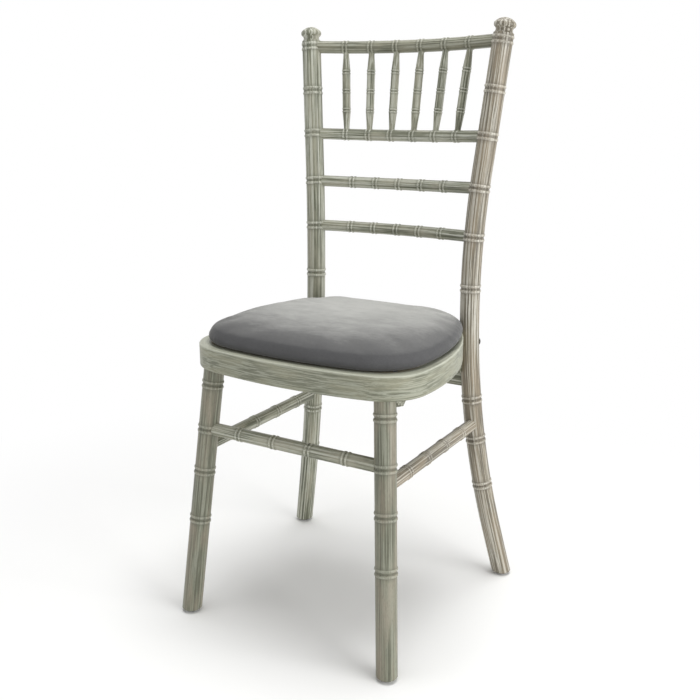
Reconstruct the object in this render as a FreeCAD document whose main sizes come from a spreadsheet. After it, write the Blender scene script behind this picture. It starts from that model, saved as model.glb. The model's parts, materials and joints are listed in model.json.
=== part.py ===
import FreeCAD, Part
import math
import os
import Sketcher

# Chiavari chair: bamboo-turned beech frame, bentwood seat ring and a lift-off seat pad.
# Millimetres. Z is up, the chair faces -Y and +X is on the right when it is seen from the front.
# The origin lies on the floor, under the middle of the chair's whole width and depth.

V = FreeCAD.Vector
doc = FreeCAD.newDocument("chiavari_chair")
sheet = doc.addObject("Spreadsheet::Sheet", "Sizes")


class Size:
    """A length that remembers the sheet expression that it came from."""

    def __init__(self, value, text):
        self.value = float(value)
        self.text = text

    def _join(self, other, sign, value):
        text = other.text if isinstance(other, Size) else repr(float(other))
        return Size(value, "({} {} {})".format(self.text, sign, text))

    def __add__(self, other):
        return self._join(other, "+", self.value + plain(other))

    def __sub__(self, other):
        return self._join(other, "-", self.value - plain(other))

    def __mul__(self, other):
        return self._join(other, "*", self.value * plain(other))

    def __truediv__(self, other):
        return self._join(other, "/", self.value / plain(other))


def plain(number):
    """The bare number of a Size or of a number."""
    return number.value if isinstance(number, Size) else float(number)


DRIVING_SIZES = [
    # Back posts: centre lines, the two straight runs meet in the bend point
    ("chair_height", 920),
    ("back_top_spread", 350),
    ("back_top_depth", 172.5),
    ("back_foot_spread", 416),
    ("back_foot_depth", 179.5),
    ("back_bend_spread", 257),
    ("back_bend_depth", 119.5),
    ("back_bend_height", 388),
    ("back_bend_radius", 1600),
    ("post_diameter", 31.5),
    ("finial_height", 24),
    ("finial_diameter", 34),
    ("finial_neck_diameter", 26),
    ("finial_shoulder", 1),
    ("finial_cove_width", 9),
    ("finial_cap_edge", 7),
    # Front legs
    ("front_foot_spread", 361),
    ("front_foot_depth", 192.5),
    ("front_top_spread", 298),
    ("front_top_depth", 148.5),
    ("leg_diameter", 31.5),
    ("leg_tenon_diameter", 18),
    ("leg_tenon_length", 24),
    ("foot_chamfer", 2),
    # Bamboo nodes on the posts and the front legs: a height, a drop from the chair's top or the
    # seat ring's underside, or a rise above the seat
    ("upper_post_node_drop", 104),
    ("lower_back_node_rise", 68),
    ("high_rear_leg_node_drop", 81),
    ("middle_rear_leg_node", 254),
    ("low_rear_leg_node", 172),
    ("high_front_leg_node_drop", 26),
    ("middle_front_leg_node", 240),
    ("low_front_leg_node", 160),
    # Rails of the back, each measured down from the top of the chair
    ("top_rail_drop", 32),
    ("spindle_rail_drop", 174),
    ("upper_ladder_drop", 253),
    ("lower_ladder_drop", 329),
    ("top_rail_diameter", 20),
    ("rail_diameter", 18.5),
    ("top_rail_bow", 28),
    ("rail_bow", 22),
    ("rail_tenon_diameter", 11),
    ("rail_node_pitch", 42.8),
    # Spindles
    ("spindle_top_pitch", 45.3),
    ("spindle_foot_pitch", 40.8),
    ("spindle_diameter", 13.4),
    ("spindle_end_diameter", 9.6),
    ("spindle_tenon_length", 6),
    ("spindle_neck_length", 3),
    # Stretchers
    ("stretcher_diameter", 20),
    ("stretcher_tenon_diameter", 13),
    ("front_stretcher_height", 308),
    ("side_stretcher_height", 280),
    # How far a tenon reaches into a post or leg
    ("tenon_length", 14),
    ("glue_gap", 0.1),
    # Bamboo nodes: two beads with a groove between them
    ("large_bead_radius", 3),
    ("large_bead_rise", 1.2),
    ("large_bead_pitch", 8.4),
    ("large_groove_radius", 1.2),
    ("medium_bead_radius", 2.5),
    ("medium_bead_rise", 0.9),
    ("medium_bead_pitch", 6.6),
    ("medium_groove_radius", 0.9),
    ("small_bead_radius", 1.8),
    ("small_bead_rise", 0.6),
    ("small_bead_pitch", 4.6),
    ("small_groove_radius", 0.6),
    # Seat ring in plan
    ("seat_top", 441),
    ("seat_ring_height", 36),
    ("seat_ring_thickness", 30),
    ("seat_width", 390),
    ("seat_front", 185.5),
    ("seat_rear", 157.5),
    ("seat_front_radius", 736),
    ("seat_corner_radius", 71),
    ("seat_side_radius", 384),
    ("seat_rear_radius", 58),
    ("seat_corner_heading", 84.4),
    ("seat_edge_rounding", 2.5),
    # Seat panel in the ring's rebate
    ("panel_thickness", 9),
    ("panel_rebate", 12),
    ("panel_clearance", 0.4),
    # Rail under the back of the ring
    ("rear_rail_thickness", 18),
    ("rear_rail_width", 59),
    ("rear_rail_tenon_thickness", 9),
    ("rear_rail_tenon_shoulder", 12),
    # Glue blocks in the corners under the ring
    ("front_block_length", 12),
    ("front_block_height", 12),
    ("front_block_width", 18),
    ("rear_block_length", 22),
    ("rear_block_height", 34),
    ("rear_block_width", 20),
    ("rear_block_offset", 19.5),
    ("block_screw_depth", 15),
    # Screws and bolts
    ("bolt_diameter", 6),
    ("bolt_head_diameter", 12),
    ("bolt_head_height", 3.5),
    ("bolt_head_edge", 1),
    ("bolt_length", 50),
    ("bolt_drop", 20),
    ("bolt_key_width", 4),
    ("bolt_flat_depth", 1.3),
    ("bolt_head_clearance", 0.5),
    ("screw_diameter", 3.5),
    ("screw_head_diameter", 7),
    ("screw_head_height", 2.5),
    ("panel_screw_length", 22),
    ("block_screw_length", 30),
    ("rail_screw_length", 45),
    ("rail_screw_spread", 120),
    # Glides under the feet
    ("glide_height", 4),
    ("glide_diameter", 20),
    ("glide_face_diameter", 16),
    ("glide_edge_height", 1.6),
    ("nail_diameter", 2.4),
    ("nail_head_diameter", 7.2),
    ("nail_head_height", 0.8),
    ("nail_recess", 0.8),
    ("nail_length", 18),
    # Pad
    ("pad_front_inset", 9),
    ("pad_side_inset", 8),
    ("pad_rear_inset", 10),
    ("pad_corner_radius", 84),
    ("pad_rear_radius", 84),
    ("pad_height", 39),
    ("pad_cover_thickness", 1.5),
    ("pad_hem", 24),
    ("pad_board_thickness", 6),
    ("pad_board_inset", 12),
    ("pad_underlining_thickness", 0.8),
    ("strip_length", 90),
    ("strip_width", 20),
    ("strip_thickness", 1.2),
    ("strip_spread", 150),
    ("soft_clearance", 0.3),
]

# Heights that follow the chair's top, the seat or the underside of the seat ring
FOLLOWING_HEIGHTS = [
    ("leg_top_height", "=seat_top - seat_ring_height"),
    ("top_rail_height", "=chair_height - top_rail_drop"),
    ("spindle_rail_height", "=chair_height - spindle_rail_drop"),
    ("upper_ladder_height", "=chair_height - upper_ladder_drop"),
    ("lower_ladder_height", "=chair_height - lower_ladder_drop"),
    ("upper_post_node", "=chair_height - upper_post_node_drop"),
    ("lower_back_node", "=seat_top + lower_back_node_rise"),
    ("high_rear_leg_node", "=leg_top_height - high_rear_leg_node_drop"),
    ("high_front_leg_node", "=leg_top_height - high_front_leg_node_drop"),
    ("rear_rail_bottom", "=leg_top_height - rear_rail_width"),
    ("bolt_height", "=seat_top - bolt_drop"),
    ("pad_crown", "=seat_top + pad_height"),
]

SHEET_ROWS = DRIVING_SIZES + FOLLOWING_HEIGHTS
for row, (alias, content) in enumerate(SHEET_ROWS, start=1):
    sheet.set("A{}".format(row), alias.replace("_", " "))
    sheet.set("B{}".format(row), str(content))
    sheet.setAlias("B{}".format(row), alias)
doc.recompute()

size = {alias: Size(sheet.get(alias), "Sizes." + alias) for alias, _ in SHEET_ROWS}
gap = size["glue_gap"]
half_post = size["post_diameter"] / 2
half_leg = size["leg_diameter"] / 2


def bind(feature, **lengths):
    """Set properties from sizes and keep them bound to the sheet."""
    for name, length in lengths.items():
        setattr(feature, name, plain(length))
        if isinstance(length, Size):
            feature.setExpression(name, length.text)
    return feature


def aim(direction):
    """Rotation that turns Z to a direction."""
    return FreeCAD.Rotation(V(0, 0, 1), direction)


def frame_of(x_axis, z_axis):
    """Rotation with the given X and Z axes."""
    return FreeCAD.Rotation(x_axis, z_axis.cross(x_axis), z_axis, "ZXY")


# Primitives and booleans

def cylinder(name, start, direction, radius, length):
    rod = doc.addObject("Part::Cylinder", name)
    bind(rod, Radius=radius, Height=length)
    rod.Placement = FreeCAD.Placement(start, aim(direction))
    return rod


def ring(name, centre, direction, centre_radius, tube_radius):
    torus = doc.addObject("Part::Torus", name)
    bind(torus, Radius1=centre_radius, Radius2=tube_radius)
    torus.Placement = FreeCAD.Placement(centre, aim(direction))
    return torus


def box(name, corner, length, width, height, rotation=FreeCAD.Rotation()):
    block = doc.addObject("Part::Box", name)
    bind(block, Length=length, Width=width, Height=height)
    block.Placement = FreeCAD.Placement(corner, rotation)
    return block


def fuse(name, pieces):
    if len(pieces) == 1:
        return pieces[0]
    union = doc.addObject("Part::MultiFuse", name)
    union.Shapes = pieces
    return union


def cut(name, base, tools):
    remainder = doc.addObject("Part::Cut", name)
    remainder.Base = base
    remainder.Tool = fuse(name + "_tools", tools)
    return remainder


def mirrored(name, source):
    """The same piece on the other side of the chair."""
    twin = doc.addObject("Part::Mirroring", name)
    twin.Source = source
    twin.Normal = V(1, 0, 0)
    twin.Base = V(0, 0, 0)
    return twin


def group(name, pieces):
    bundle = doc.addObject("Part::Compound", name)
    bundle.Links = pieces
    return bundle


# Sketches and turned pieces

def origin_plane(body, role):
    return [plane for plane in body.Origin.OriginFeatures if plane.Role == role][0]


def new_sketch(body, name, role="XY_Plane", height=0):
    sketch = body.newObject("Sketcher::SketchObject", name)
    sketch.AttachmentSupport = [(origin_plane(body, role), "")]
    sketch.MapMode = "FlatFace"
    if plain(height) != 0:
        sketch.AttachmentOffset = FreeCAD.Placement(V(0, 0, plain(height)), FreeCAD.Rotation())
        if isinstance(height, Size):
            sketch.setExpression("AttachmentOffset.Base.z", height.text)
    return sketch


def pin_corner(sketch, place, corner):
    """Tie the end of a line or arc to a corner that is given by two sizes."""
    curve, end = place
    for number, constraint, axis in ((corner[0], "DistanceX", -2), (corner[1], "DistanceY", -1)):
        if plain(number) == 0:
            sketch.addConstraint(Sketcher.Constraint("PointOnObject", curve, end, axis))
            continue
        index = sketch.addConstraint(
            Sketcher.Constraint(constraint, -1, 1, curve, end, plain(number)))
        if isinstance(number, Size):
            sketch.setExpression("Constraints[{}]".format(index), number.text)


def draw_polygon(sketch, corners):
    """Closed outline with every corner pinned by the sheet.

    A corner is (x, y), or (x, y, radius, bulge) where an arc of that radius leads to the next corner
    and bulge is how far it stands to the right of the straight way there.
    """
    points = [V(plain(corner[0]), plain(corner[1]), 0) for corner in corners]
    count = len(points)
    starts = []
    ends = []
    for index, corner in enumerate(corners):
        here = points[index]
        there = points[(index + 1) % count]
        if len(corner) == 2:
            sketch.addGeometry(Part.LineSegment(here, there))
            starts.append((index, 1))
            ends.append((index, 2))
            continue
        along = (there - here).normalize()
        middle = (here + there) * 0.5 + V(along.y, -along.x, 0) * plain(corner[3])
        sketch.addGeometry(Part.Arc(here, middle, there))
        forward = plain(corner[3]) > 0
        starts.append((index, 1 if forward else 2))
        ends.append((index, 2 if forward else 1))
    for index in range(count):
        sketch.addConstraint(Sketcher.Constraint("Coincident", *ends[index], *starts[(index + 1) % count]))
    for index, corner in enumerate(corners):
        pin_corner(sketch, starts[index], corner)
        if len(corner) == 4:
            bound = sketch.addConstraint(Sketcher.Constraint("Radius", index, plain(corner[2])))
            sketch.setExpression("Constraints[{}]".format(bound), corner[2].text)


def turned(name, corners, placement=FreeCAD.Placement()):
    """Lathe work: a half profile of (radius, height) corners turned about Z."""
    body = doc.addObject("PartDesign::Body", name)
    profile = new_sketch(body, name + "_profile", "XZ_Plane")
    draw_polygon(profile, corners)
    turning = body.newObject("PartDesign::Revolution", name + "_turning")
    turning.Profile = profile
    turning.ReferenceAxis = (profile, ["V_Axis"])
    turning.Angle = 360
    body.Placement = placement
    return body


# Bamboo nodes

# Depth of the groove between two beads, as a share of its radius
GROOVE_DEPTH = 0.6


def chord_reach(radius, rise):
    """Half the width of an arc where it leaves a surface, from its radius and rise."""
    sunk = radius - rise
    return Size(math.sqrt(radius.value ** 2 - sunk.value ** 2),
                "sqrt({0} * {0} - {1} * {1})".format(radius.text, sunk.text))


def arc_radius(reach, rise):
    """Radius of an arc from half its width and its rise."""
    return (reach * reach + rise * rise) / (rise * 2)


def node_profile(height, radius, scale):
    """Corners of a bamboo node in a lathe profile: bead, groove and bead."""
    bead = size[scale + "_bead_radius"]
    rise = size[scale + "_bead_rise"]
    step = size[scale + "_bead_pitch"] / 2
    reach = chord_reach(bead, rise)
    groove = size[scale + "_groove_radius"]
    groove_reach = chord_reach(groove, groove * GROOVE_DEPTH)
    return [
        (radius, height - step - reach, bead, rise),
        (radius, height - step + reach),
        (radius, height - groove_reach, groove, groove * -GROOVE_DEPTH),
        (radius, height + groove_reach),
        (radius, height + step - reach, bead, rise),
        (radius, height + step + reach),
    ]


def bamboo_rings(name, centre, direction, radius, scale):
    """The same node as rings: two beads to add to a bent bar and a groove to take out of it."""
    bead = size[scale + "_bead_radius"]
    rise = size[scale + "_bead_rise"]
    step = direction * (plain(size[scale + "_bead_pitch"]) / 2)
    beads = [
        ring(name + "_upper_bead", centre + step, direction, radius + rise - bead, bead),
        ring(name + "_lower_bead", centre - step, direction, radius + rise - bead, bead),
    ]
    tube = size[scale + "_groove_radius"]
    groove = ring(name + "_groove", centre, direction, radius + tube * (1 - GROOVE_DEPTH), tube)
    return beads, groove


def with_nodes(name, base, places, radius, scale):
    """Add a bamboo node to a bent bar at each (centre, direction)."""
    beads = []
    grooves = []
    for number, (centre, direction) in enumerate(places, start=1):
        pair, groove = bamboo_rings("{}_node_{}".format(name, number), centre, direction, radius, scale)
        beads.extend(pair)
        grooves.append(groove)
    return cut(name + "_noded", fuse(name + "_beaded", [base] + beads), grooves)


# Back post: centre line of straight run, bend and straight run

def side_point(spread, depth, height):
    """A point on the +X side, from the full spread across the chair."""
    return V(plain(size[spread]) / 2, plain(size[depth]), plain(height))


post_top = side_point("back_top_spread", "back_top_depth", size["chair_height"])
post_foot = side_point("back_foot_spread", "back_foot_depth", 0)
post_bend = side_point("back_bend_spread", "back_bend_depth", size["back_bend_height"])
leg_run = (post_bend - post_foot).normalize()
top_run = (post_top - post_bend).normalize()
bend_radius = plain(size["back_bend_radius"])
bend_turn = leg_run.getAngle(top_run)
bend_reach = bend_radius * math.tan(bend_turn / 2)
bend_start = post_bend - leg_run * bend_reach
bend_end = post_bend + top_run * bend_reach
bend_side = (top_run - leg_run * top_run.dot(leg_run)).normalize()
bend_centre = bend_start + bend_side * bend_radius


def post_at(height):
    """Centre and direction of the back post's centre line at a height."""
    if height <= bend_start.z:
        return post_foot + leg_run * ((height - post_foot.z) / leg_run.z), leg_run
    if height >= bend_end.z:
        return bend_end + top_run * ((height - bend_end.z) / top_run.z), top_run
    low = 0.0
    high = bend_turn
    for _ in range(50):
        middle = (low + high) / 2
        point = bend_centre - bend_side * (bend_radius * math.cos(middle)) + leg_run * (
            bend_radius * math.sin(middle))
        if point.z < height:
            low = middle
        else:
            high = middle
    return point, leg_run * math.cos(middle) + bend_side * math.sin(middle)


# The posts and legs are made this much too long at the foot and then cut level
FOOT_OVERRUN = 20
EDGE_TOLERANCE = 0.01
finial_start = post_top - top_run * plain(size["finial_height"])
post_frame = FreeCAD.Placement(post_foot - leg_run * FOOT_OVERRUN, frame_of(bend_side, leg_run))


def post_pipe(name, radius, top_overrun=0.0):
    """Round bar along the post's centre line, from under the floor to the finial."""
    body = doc.addObject("PartDesign::Body", name)
    straight = (bend_start - post_foot).Length + FOOT_OVERRUN
    corner = V(bend_radius * (1 - math.cos(bend_turn)), straight + bend_radius * math.sin(bend_turn), 0)
    middle = V(bend_radius * (1 - math.cos(bend_turn / 2)),
               straight + bend_radius * math.sin(bend_turn / 2), 0)
    rest = (finial_start - bend_end).Length + top_overrun
    end = corner + V(math.sin(bend_turn), math.cos(bend_turn), 0) * rest
    route = new_sketch(body, name + "_route", "XZ_Plane")
    route.addGeometry(Part.LineSegment(V(0, 0, 0), V(0, straight, 0)))
    route.addGeometry(Part.Arc(V(0, straight, 0), middle, corner))
    route.addGeometry(Part.LineSegment(corner, end))
    section = new_sketch(body, name + "_section")
    section.addGeometry(Part.Circle(V(0, 0, 0), V(0, 0, 1), plain(radius)))
    section.addConstraint(Sketcher.Constraint("Coincident", 0, 3, -1, 1))
    section.addConstraint(Sketcher.Constraint("Radius", 0, plain(radius)))
    section.setExpression("Constraints[1]", radius.text)
    doc.recompute()
    pipe = body.newObject("PartDesign::AdditivePipe", name + "_pipe")
    pipe.Profile = section
    pipe.Spine = (route, ["Edge1", "Edge2", "Edge3"])
    body.Placement = post_frame
    return body


# Front leg: a straight turning

leg_top_height = size["leg_top_height"]
leg_foot = V(plain(size["front_foot_spread"]) / 2, -plain(size["front_foot_depth"]), 0)
leg_top = V(plain(size["front_top_spread"]) / 2, -plain(size["front_top_depth"]), plain(leg_top_height))
leg_direction = (leg_top - leg_foot).normalize()


def leg_at(height):
    """Centre of the front leg at a height."""
    return leg_foot + leg_direction * (height / leg_direction.z)


def flip(point):
    """The same point on the other side of the chair."""
    return V(-point.x, point.y, point.z)


# Seat outline: tangent arcs, the same turns at every inset

class SeatOutline:
    """Front arc, corner, side arc, rear corner and straight back, mirrored in X."""

    def __init__(self, width, front, rear, corner_radius, rear_radius):
        front_radius = plain(size["seat_front_radius"])
        side_radius = plain(size["seat_side_radius"])
        corner_end = math.radians(plain(size["seat_corner_heading"]))
        side_share = side_radius * (1 - math.sin(corner_end))
        reach = width / 2 - corner_radius * math.sin(corner_end) - side_share
        front_turn = math.asin(reach / (front_radius - corner_radius))
        sweep = (front + rear - front_radius * (1 - math.cos(front_turn))
                 - corner_radius * (math.cos(front_turn) - math.cos(corner_end))
                 - side_radius * math.cos(corner_end) - rear_radius)
        side_end = math.acos(sweep / (rear_radius - side_radius))
        self.front = -front
        self.arcs = [
            (front_radius, 0.0, front_turn),
            (corner_radius, front_turn, corner_end),
            (side_radius, corner_end, side_end),
            (rear_radius, side_end, math.pi),
        ]

    def edges(self, inset=0.0, scale=1.0, middle=0.0, height=0.0):
        """Arcs of the outline moved inwards by an inset and shrunk about (0, middle)."""
        def place(x, y):
            return V(x * scale, middle + (y - middle) * scale, height)

        x = 0.0
        y = self.front + inset
        right = []
        for radius, start, end in self.arcs:
            radius = radius - inset
            centre_x = x - radius * math.sin(start)
            centre_y = y + radius * math.cos(start)
            half_way = (start + end) / 2
            points = [(centre_x + radius * math.sin(a), centre_y - radius * math.cos(a))
                      for a in (start, half_way, end)]
            right.append([place(*point) for point in points])
            x, y = points[-1]
        front = right[0]
        edges = [Part.Arc(flip(front[2]), V(0, front[0].y, height), front[2])]
        edges += [Part.Arc(*points) for points in right[1:]]
        edges.append(Part.LineSegment(right[-1][2], flip(right[-1][2])))
        edges += [Part.Arc(*[flip(point) for point in reversed(points)]) for points in reversed(right[1:])]
        return edges

    def wire(self, inset=0.0, scale=1.0, middle=0.0, height=0.0):
        return Part.Wire([edge.toShape() for edge in self.edges(inset, scale, middle, height)])

    def centres(self):
        """Centre, radius, start and end heading of each arc on the +X side."""
        x = 0.0
        y = self.front
        found = []
        for radius, start, end in self.arcs:
            centre = V(x - radius * math.sin(start), y + radius * math.cos(start), 0)
            x = centre.x + radius * math.sin(end)
            y = centre.y - radius * math.cos(end)
            found.append((centre, radius, start, end))
        return found

    def point(self, arc, share, inset):
        """Point part of the way along one of the arcs, moved inwards."""
        centre, radius, start, end = self.centres()[arc]
        heading = start + (end - start) * share
        return centre + V(math.sin(heading), -math.cos(heading), 0) * (radius - inset)

    def corner_end(self, inset):
        return self.point(1, 1.0, inset)

    def rear(self):
        """Y of the straight back."""
        return self.point(3, 1.0, 0.0).y

    def fixing_points(self, inset):
        """Six points spread round the outline."""
        sides = [self.point(1, 0.5, inset), self.point(2, 0.6, inset)]
        points = [self.point(0, 0.0, inset), V(0, self.rear() - inset, 0)]
        for place in sides:
            points += [place, flip(place)]
        return points

    def distance_inside(self, place):
        """How far a point lies from the outline."""
        wire = self.wire(height=place.z)
        return Part.Vertex(place).distToShape(wire)[0]


seat = SeatOutline(plain(size["seat_width"]), plain(size["seat_front"]), plain(size["seat_rear"]),
                   plain(size["seat_corner_radius"]), plain(size["seat_rear_radius"]))


def plate(name, outline, inset, bottom, thickness):
    """Flat piece with the seat's outline."""
    body = doc.addObject("PartDesign::Body", name)
    sketch = new_sketch(body, name + "_outline")
    for edge in outline.edges(inset):
        sketch.addGeometry(edge)
    pad = body.newObject("PartDesign::Pad", name + "_pad")
    pad.Profile = sketch
    bind(pad, Length=thickness)
    body.Placement = FreeCAD.Placement(V(0, 0, plain(bottom)), FreeCAD.Rotation())
    body.setExpression("Placement.Base.z", bottom.text)
    return body


# Envelopes that the neighbours are coped to

post_envelope = post_pipe("post_envelope", half_post + gap, plain(size["finial_height"]))
post_envelopes = [post_envelope, mirrored("post_envelope_left", post_envelope)]
leg_envelope = cylinder("leg_envelope", leg_at(-FOOT_OVERRUN), leg_direction, half_leg + gap,
                        size["chair_height"] / 2)
leg_envelopes = [leg_envelope, mirrored("leg_envelope_left", leg_envelope)]


# Bowed rails of the back

class BackRail:
    """Round rail bent to an arc between the back posts."""

    def __init__(self, name, height, bow, diameter):
        self.name = name
        self.radius = size[diameter] / 2
        end, direction = post_at(plain(size[height]))
        rake = math.atan2(direction.y, direction.z)
        self.bow_side = V(0, math.cos(rake), -math.sin(rake))
        self.axis = V(0, math.sin(rake), math.cos(rake))
        sagitta = plain(size[bow])
        self.bow_radius = (end.x * end.x + sagitta * sagitta) / (2 * sagitta)
        self.half_turn = math.asin(end.x / self.bow_radius)
        self.centre = V(0, end.y, end.z) + self.bow_side * (sagitta - self.bow_radius)

    def at(self, offset):
        """Centre line point and direction at a sideways offset."""
        angle = math.asin(offset / self.bow_radius)
        point = self.centre + (V(1, 0, 0) * math.sin(angle) + self.bow_side * math.cos(angle)) * (
            self.bow_radius)
        return point, V(1, 0, 0) * math.cos(angle) - self.bow_side * math.sin(angle)

    def arc(self, name, radius, end_gap):
        """Round bar along the rail that stops short of the post centres by end_gap."""
        short = end_gap / self.bow_radius
        bar = doc.addObject("Part::Torus", name)
        bind(bar, Radius1=self.bow_radius, Radius2=radius)
        bar.Angle3 = math.degrees(2 * (self.half_turn - short))
        start = math.pi / 2 - self.half_turn + short
        x_axis = V(1, 0, 0) * math.cos(start) + self.bow_side * math.sin(start)
        bar.Placement = FreeCAD.Placement(self.centre, frame_of(x_axis, self.axis))
        return bar

    def build(self, offsets):
        """Noded rail, coped to the posts, with a round tenon at each end."""
        inside = plain(half_post) - plain(size["tenon_length"])
        bar = self.arc(self.name + "_bar", self.radius, 0.0)
        noded = with_nodes(self.name, bar, [self.at(offset) for offset in offsets], self.radius, "medium")
        coped = cut(self.name + "_coped", noded, post_envelopes)
        tenon = self.arc(self.name + "_tenon", size["rail_tenon_diameter"] / 2, inside)
        return fuse(self.name + "_with_tenons", [coped, tenon])

    def clearance(self):
        """Room for the bar where it meets the beads of a post."""
        return self.arc(self.name + "_clearance", self.radius + gap, 0.0)

    def mortise(self):
        inside = plain(half_post) - plain(size["tenon_length"]) - plain(gap)
        return self.arc(self.name + "_mortise", size["rail_tenon_diameter"] / 2 + gap, inside)


SPINDLES = 6
LADDER_NODES = 5


def spread(count, pitch):
    """Even offsets about the middle of the chair."""
    return [(number - (count - 1) / 2) * plain(pitch) for number in range(count)]


top_offsets = spread(SPINDLES, size["spindle_top_pitch"])
foot_offsets = spread(SPINDLES, size["spindle_foot_pitch"])
ladder_offsets = spread(LADDER_NODES, size["rail_node_pitch"])

top_rail = BackRail("top_rail", "top_rail_height", "top_rail_bow", "top_rail_diameter")
spindle_rail = BackRail("spindle_rail", "spindle_rail_height", "rail_bow", "rail_diameter")
upper_ladder = BackRail("upper_ladder_rail", "upper_ladder_height", "rail_bow", "rail_diameter")
lower_ladder = BackRail("lower_ladder_rail", "lower_ladder_height", "rail_bow", "rail_diameter")
rails = [top_rail, spindle_rail, upper_ladder, lower_ladder]
rail_offsets = [top_offsets, foot_offsets, ladder_offsets, ladder_offsets]
rail_blanks = [rail.build(offsets) for rail, offsets in zip(rails, rail_offsets)]

nodes = {}


# Spindles between the two upper rails

def spindle_ends(number):
    """Ends of a spindle, each sunk into its rail."""
    head = top_rail.at(top_offsets[number])[0]
    foot = spindle_rail.at(foot_offsets[number])[0]
    direction = (head - foot).normalize()
    sink = plain(size["spindle_tenon_length"])
    low = foot + direction * (plain(spindle_rail.radius) - sink)
    high = head - direction * (plain(top_rail.radius) - sink)
    return low, high, direction


def along(length, share):
    """A height that is a share of a worked-out length."""
    return Size(length * share, repr(length * share))


head_holes = []
foot_holes = []
SPINDLE_NODES = (0.27, 0.5, 0.73)
for number in range(SPINDLES // 2):
    low, high, direction = spindle_ends(number)
    length = (high - low).Length
    name = "spindle_{}".format(number + 1)
    end_radius = size["spindle_end_diameter"] / 2
    belly = size["spindle_diameter"] / 2
    straight = size["spindle_tenon_length"] + size["spindle_neck_length"]
    profile = [(0, 0), (end_radius, 0), (end_radius, straight)]
    for share in SPINDLE_NODES:
        profile += node_profile(along(length, share), belly, "small")
    profile += [
        (end_radius, along(length, 1) - straight),
        (end_radius, along(length, 1)),
        (0, along(length, 1)),
    ]
    nodes[name] = turned(name + "_turning", profile, FreeCAD.Placement(low, aim(direction)))
    twin = "spindle_{}".format(SPINDLES - number)
    nodes[twin] = mirrored(twin + "_mirror", nodes[name])
    sink = straight + gap
    head = cylinder(name + "_head_hole", high - direction * plain(sink - gap), direction,
                    end_radius + gap, sink)
    foot = cylinder(name + "_foot_hole", low - direction * plain(gap), direction, end_radius + gap, sink)
    head_holes += [head, mirrored(name + "_head_hole_mirror", head)]
    foot_holes += [foot, mirrored(name + "_foot_hole_mirror", foot)]

nodes["top_rail"] = cut("top_rail_mortised", rail_blanks[0], head_holes)
nodes["spindle_rail"] = cut("spindle_rail_mortised", rail_blanks[1], foot_holes)
nodes["upper_ladder_rail"] = rail_blanks[2]
nodes["lower_ladder_rail"] = rail_blanks[3]


# Stretchers between the legs

def stretcher(name, start, end, shares, envelopes):
    """Round stretcher with a smaller round tenon at each end."""
    direction = (end - start).normalize()
    length = (end - start).Length
    inside = plain(half_leg) - plain(size["tenon_length"])
    thick = size["stretcher_diameter"] / 2
    profile = [(0, 0), (thick, 0)]
    for share in shares:
        profile += node_profile(along(length, share), thick, "medium")
    profile += [(thick, along(length, 1)), (0, along(length, 1))]
    bar = turned(name + "_bar", profile, FreeCAD.Placement(start, aim(direction)))
    coped = cut(name + "_coped", bar, envelopes)
    tenon_radius = size["stretcher_tenon_diameter"] / 2
    tenon = cylinder(name + "_tenon", start + direction * inside, direction, tenon_radius,
                     length - 2 * inside)
    hole_start = start + direction * (inside - plain(gap))
    hole = cylinder(name + "_hole", hole_start, direction, tenon_radius + gap,
                    length - 2 * inside + 2 * plain(gap))
    room = cylinder(name + "_room", start, direction, thick + gap, length)
    return fuse(name + "_with_tenons", [coped, tenon]), hole, room


STRETCHER_NODES = (0.2, 0.4, 0.6, 0.8)
front_height = plain(size["front_stretcher_height"])
side_height = plain(size["side_stretcher_height"])
nodes["front_stretcher"], front_hole, front_bar_room = stretcher(
    "front_stretcher", flip(leg_at(front_height)), leg_at(front_height), STRETCHER_NODES, leg_envelopes)
nodes["side_stretcher_right"], side_hole, _ = stretcher(
    "side_stretcher_right", leg_at(side_height), post_at(side_height)[0], STRETCHER_NODES,
    [leg_envelope, post_envelope])
nodes["side_stretcher_left"] = mirrored("side_stretcher_left_mirror", nodes["side_stretcher_right"])


# Rail under the back of the seat ring

rail_top = leg_top_height
rail_tall = rail_top - size["rear_rail_bottom"]
rail_middle_height = plain(rail_top) - plain(rail_tall) / 2
rail_centre = post_at(rail_middle_height)[0]
rail_thick = size["rear_rail_thickness"]
tenon_thick = size["rear_rail_tenon_thickness"]
shoulder = size["rear_rail_tenon_shoulder"]
tenon_inside = plain(half_post) - plain(size["tenon_length"])
rail_board = box("rear_seat_rail_board",
                 V(-rail_centre.x, rail_centre.y - plain(rail_thick) / 2, plain(size["rear_rail_bottom"])),
                 2 * rail_centre.x, rail_thick, rail_tall)
rail_coped = cut("rear_seat_rail_coped", rail_board, post_envelopes)


def rail_tenon(name, extra):
    """Flat tenon through both ends of the rail, with room all round."""
    reach = rail_centre.x - tenon_inside + plain(extra)
    corner = V(-reach, rail_centre.y - plain(tenon_thick) / 2 - plain(extra),
               plain(size["rear_rail_bottom"] + shoulder - extra))
    return box(name, corner, 2 * reach, tenon_thick + extra * 2, rail_tall - shoulder * 2 + extra * 2)


no_extra = gap * 0
rail_with_tenons = fuse("rear_seat_rail_with_tenons",
                        [rail_coped, rail_tenon("rear_seat_rail_tenon", no_extra)])
rail_mortise = rail_tenon("rear_seat_rail_mortise", gap)


# Bolts through the posts into the seat ring

bolt_axis_point = post_at(plain(size["bolt_height"]))[0]
corner_centre = seat.centres()[3][0]
bolt_out = V(bolt_axis_point.x - corner_centre.x, bolt_axis_point.y - corner_centre.y, 0).normalize()
bolt_seat = bolt_axis_point + bolt_out * plain(half_post - size["bolt_flat_depth"])
bolt_in = bolt_out * -1
bolt_shank = size["bolt_diameter"] / 2


def bolt_rod(name, extra):
    """The bolt's shank, or with extra the hole for it."""
    return cylinder(name, bolt_seat + bolt_out * (plain(size["bolt_head_edge"]) / 2), bolt_in,
                    bolt_shank + extra, size["bolt_length"] + extra)


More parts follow.
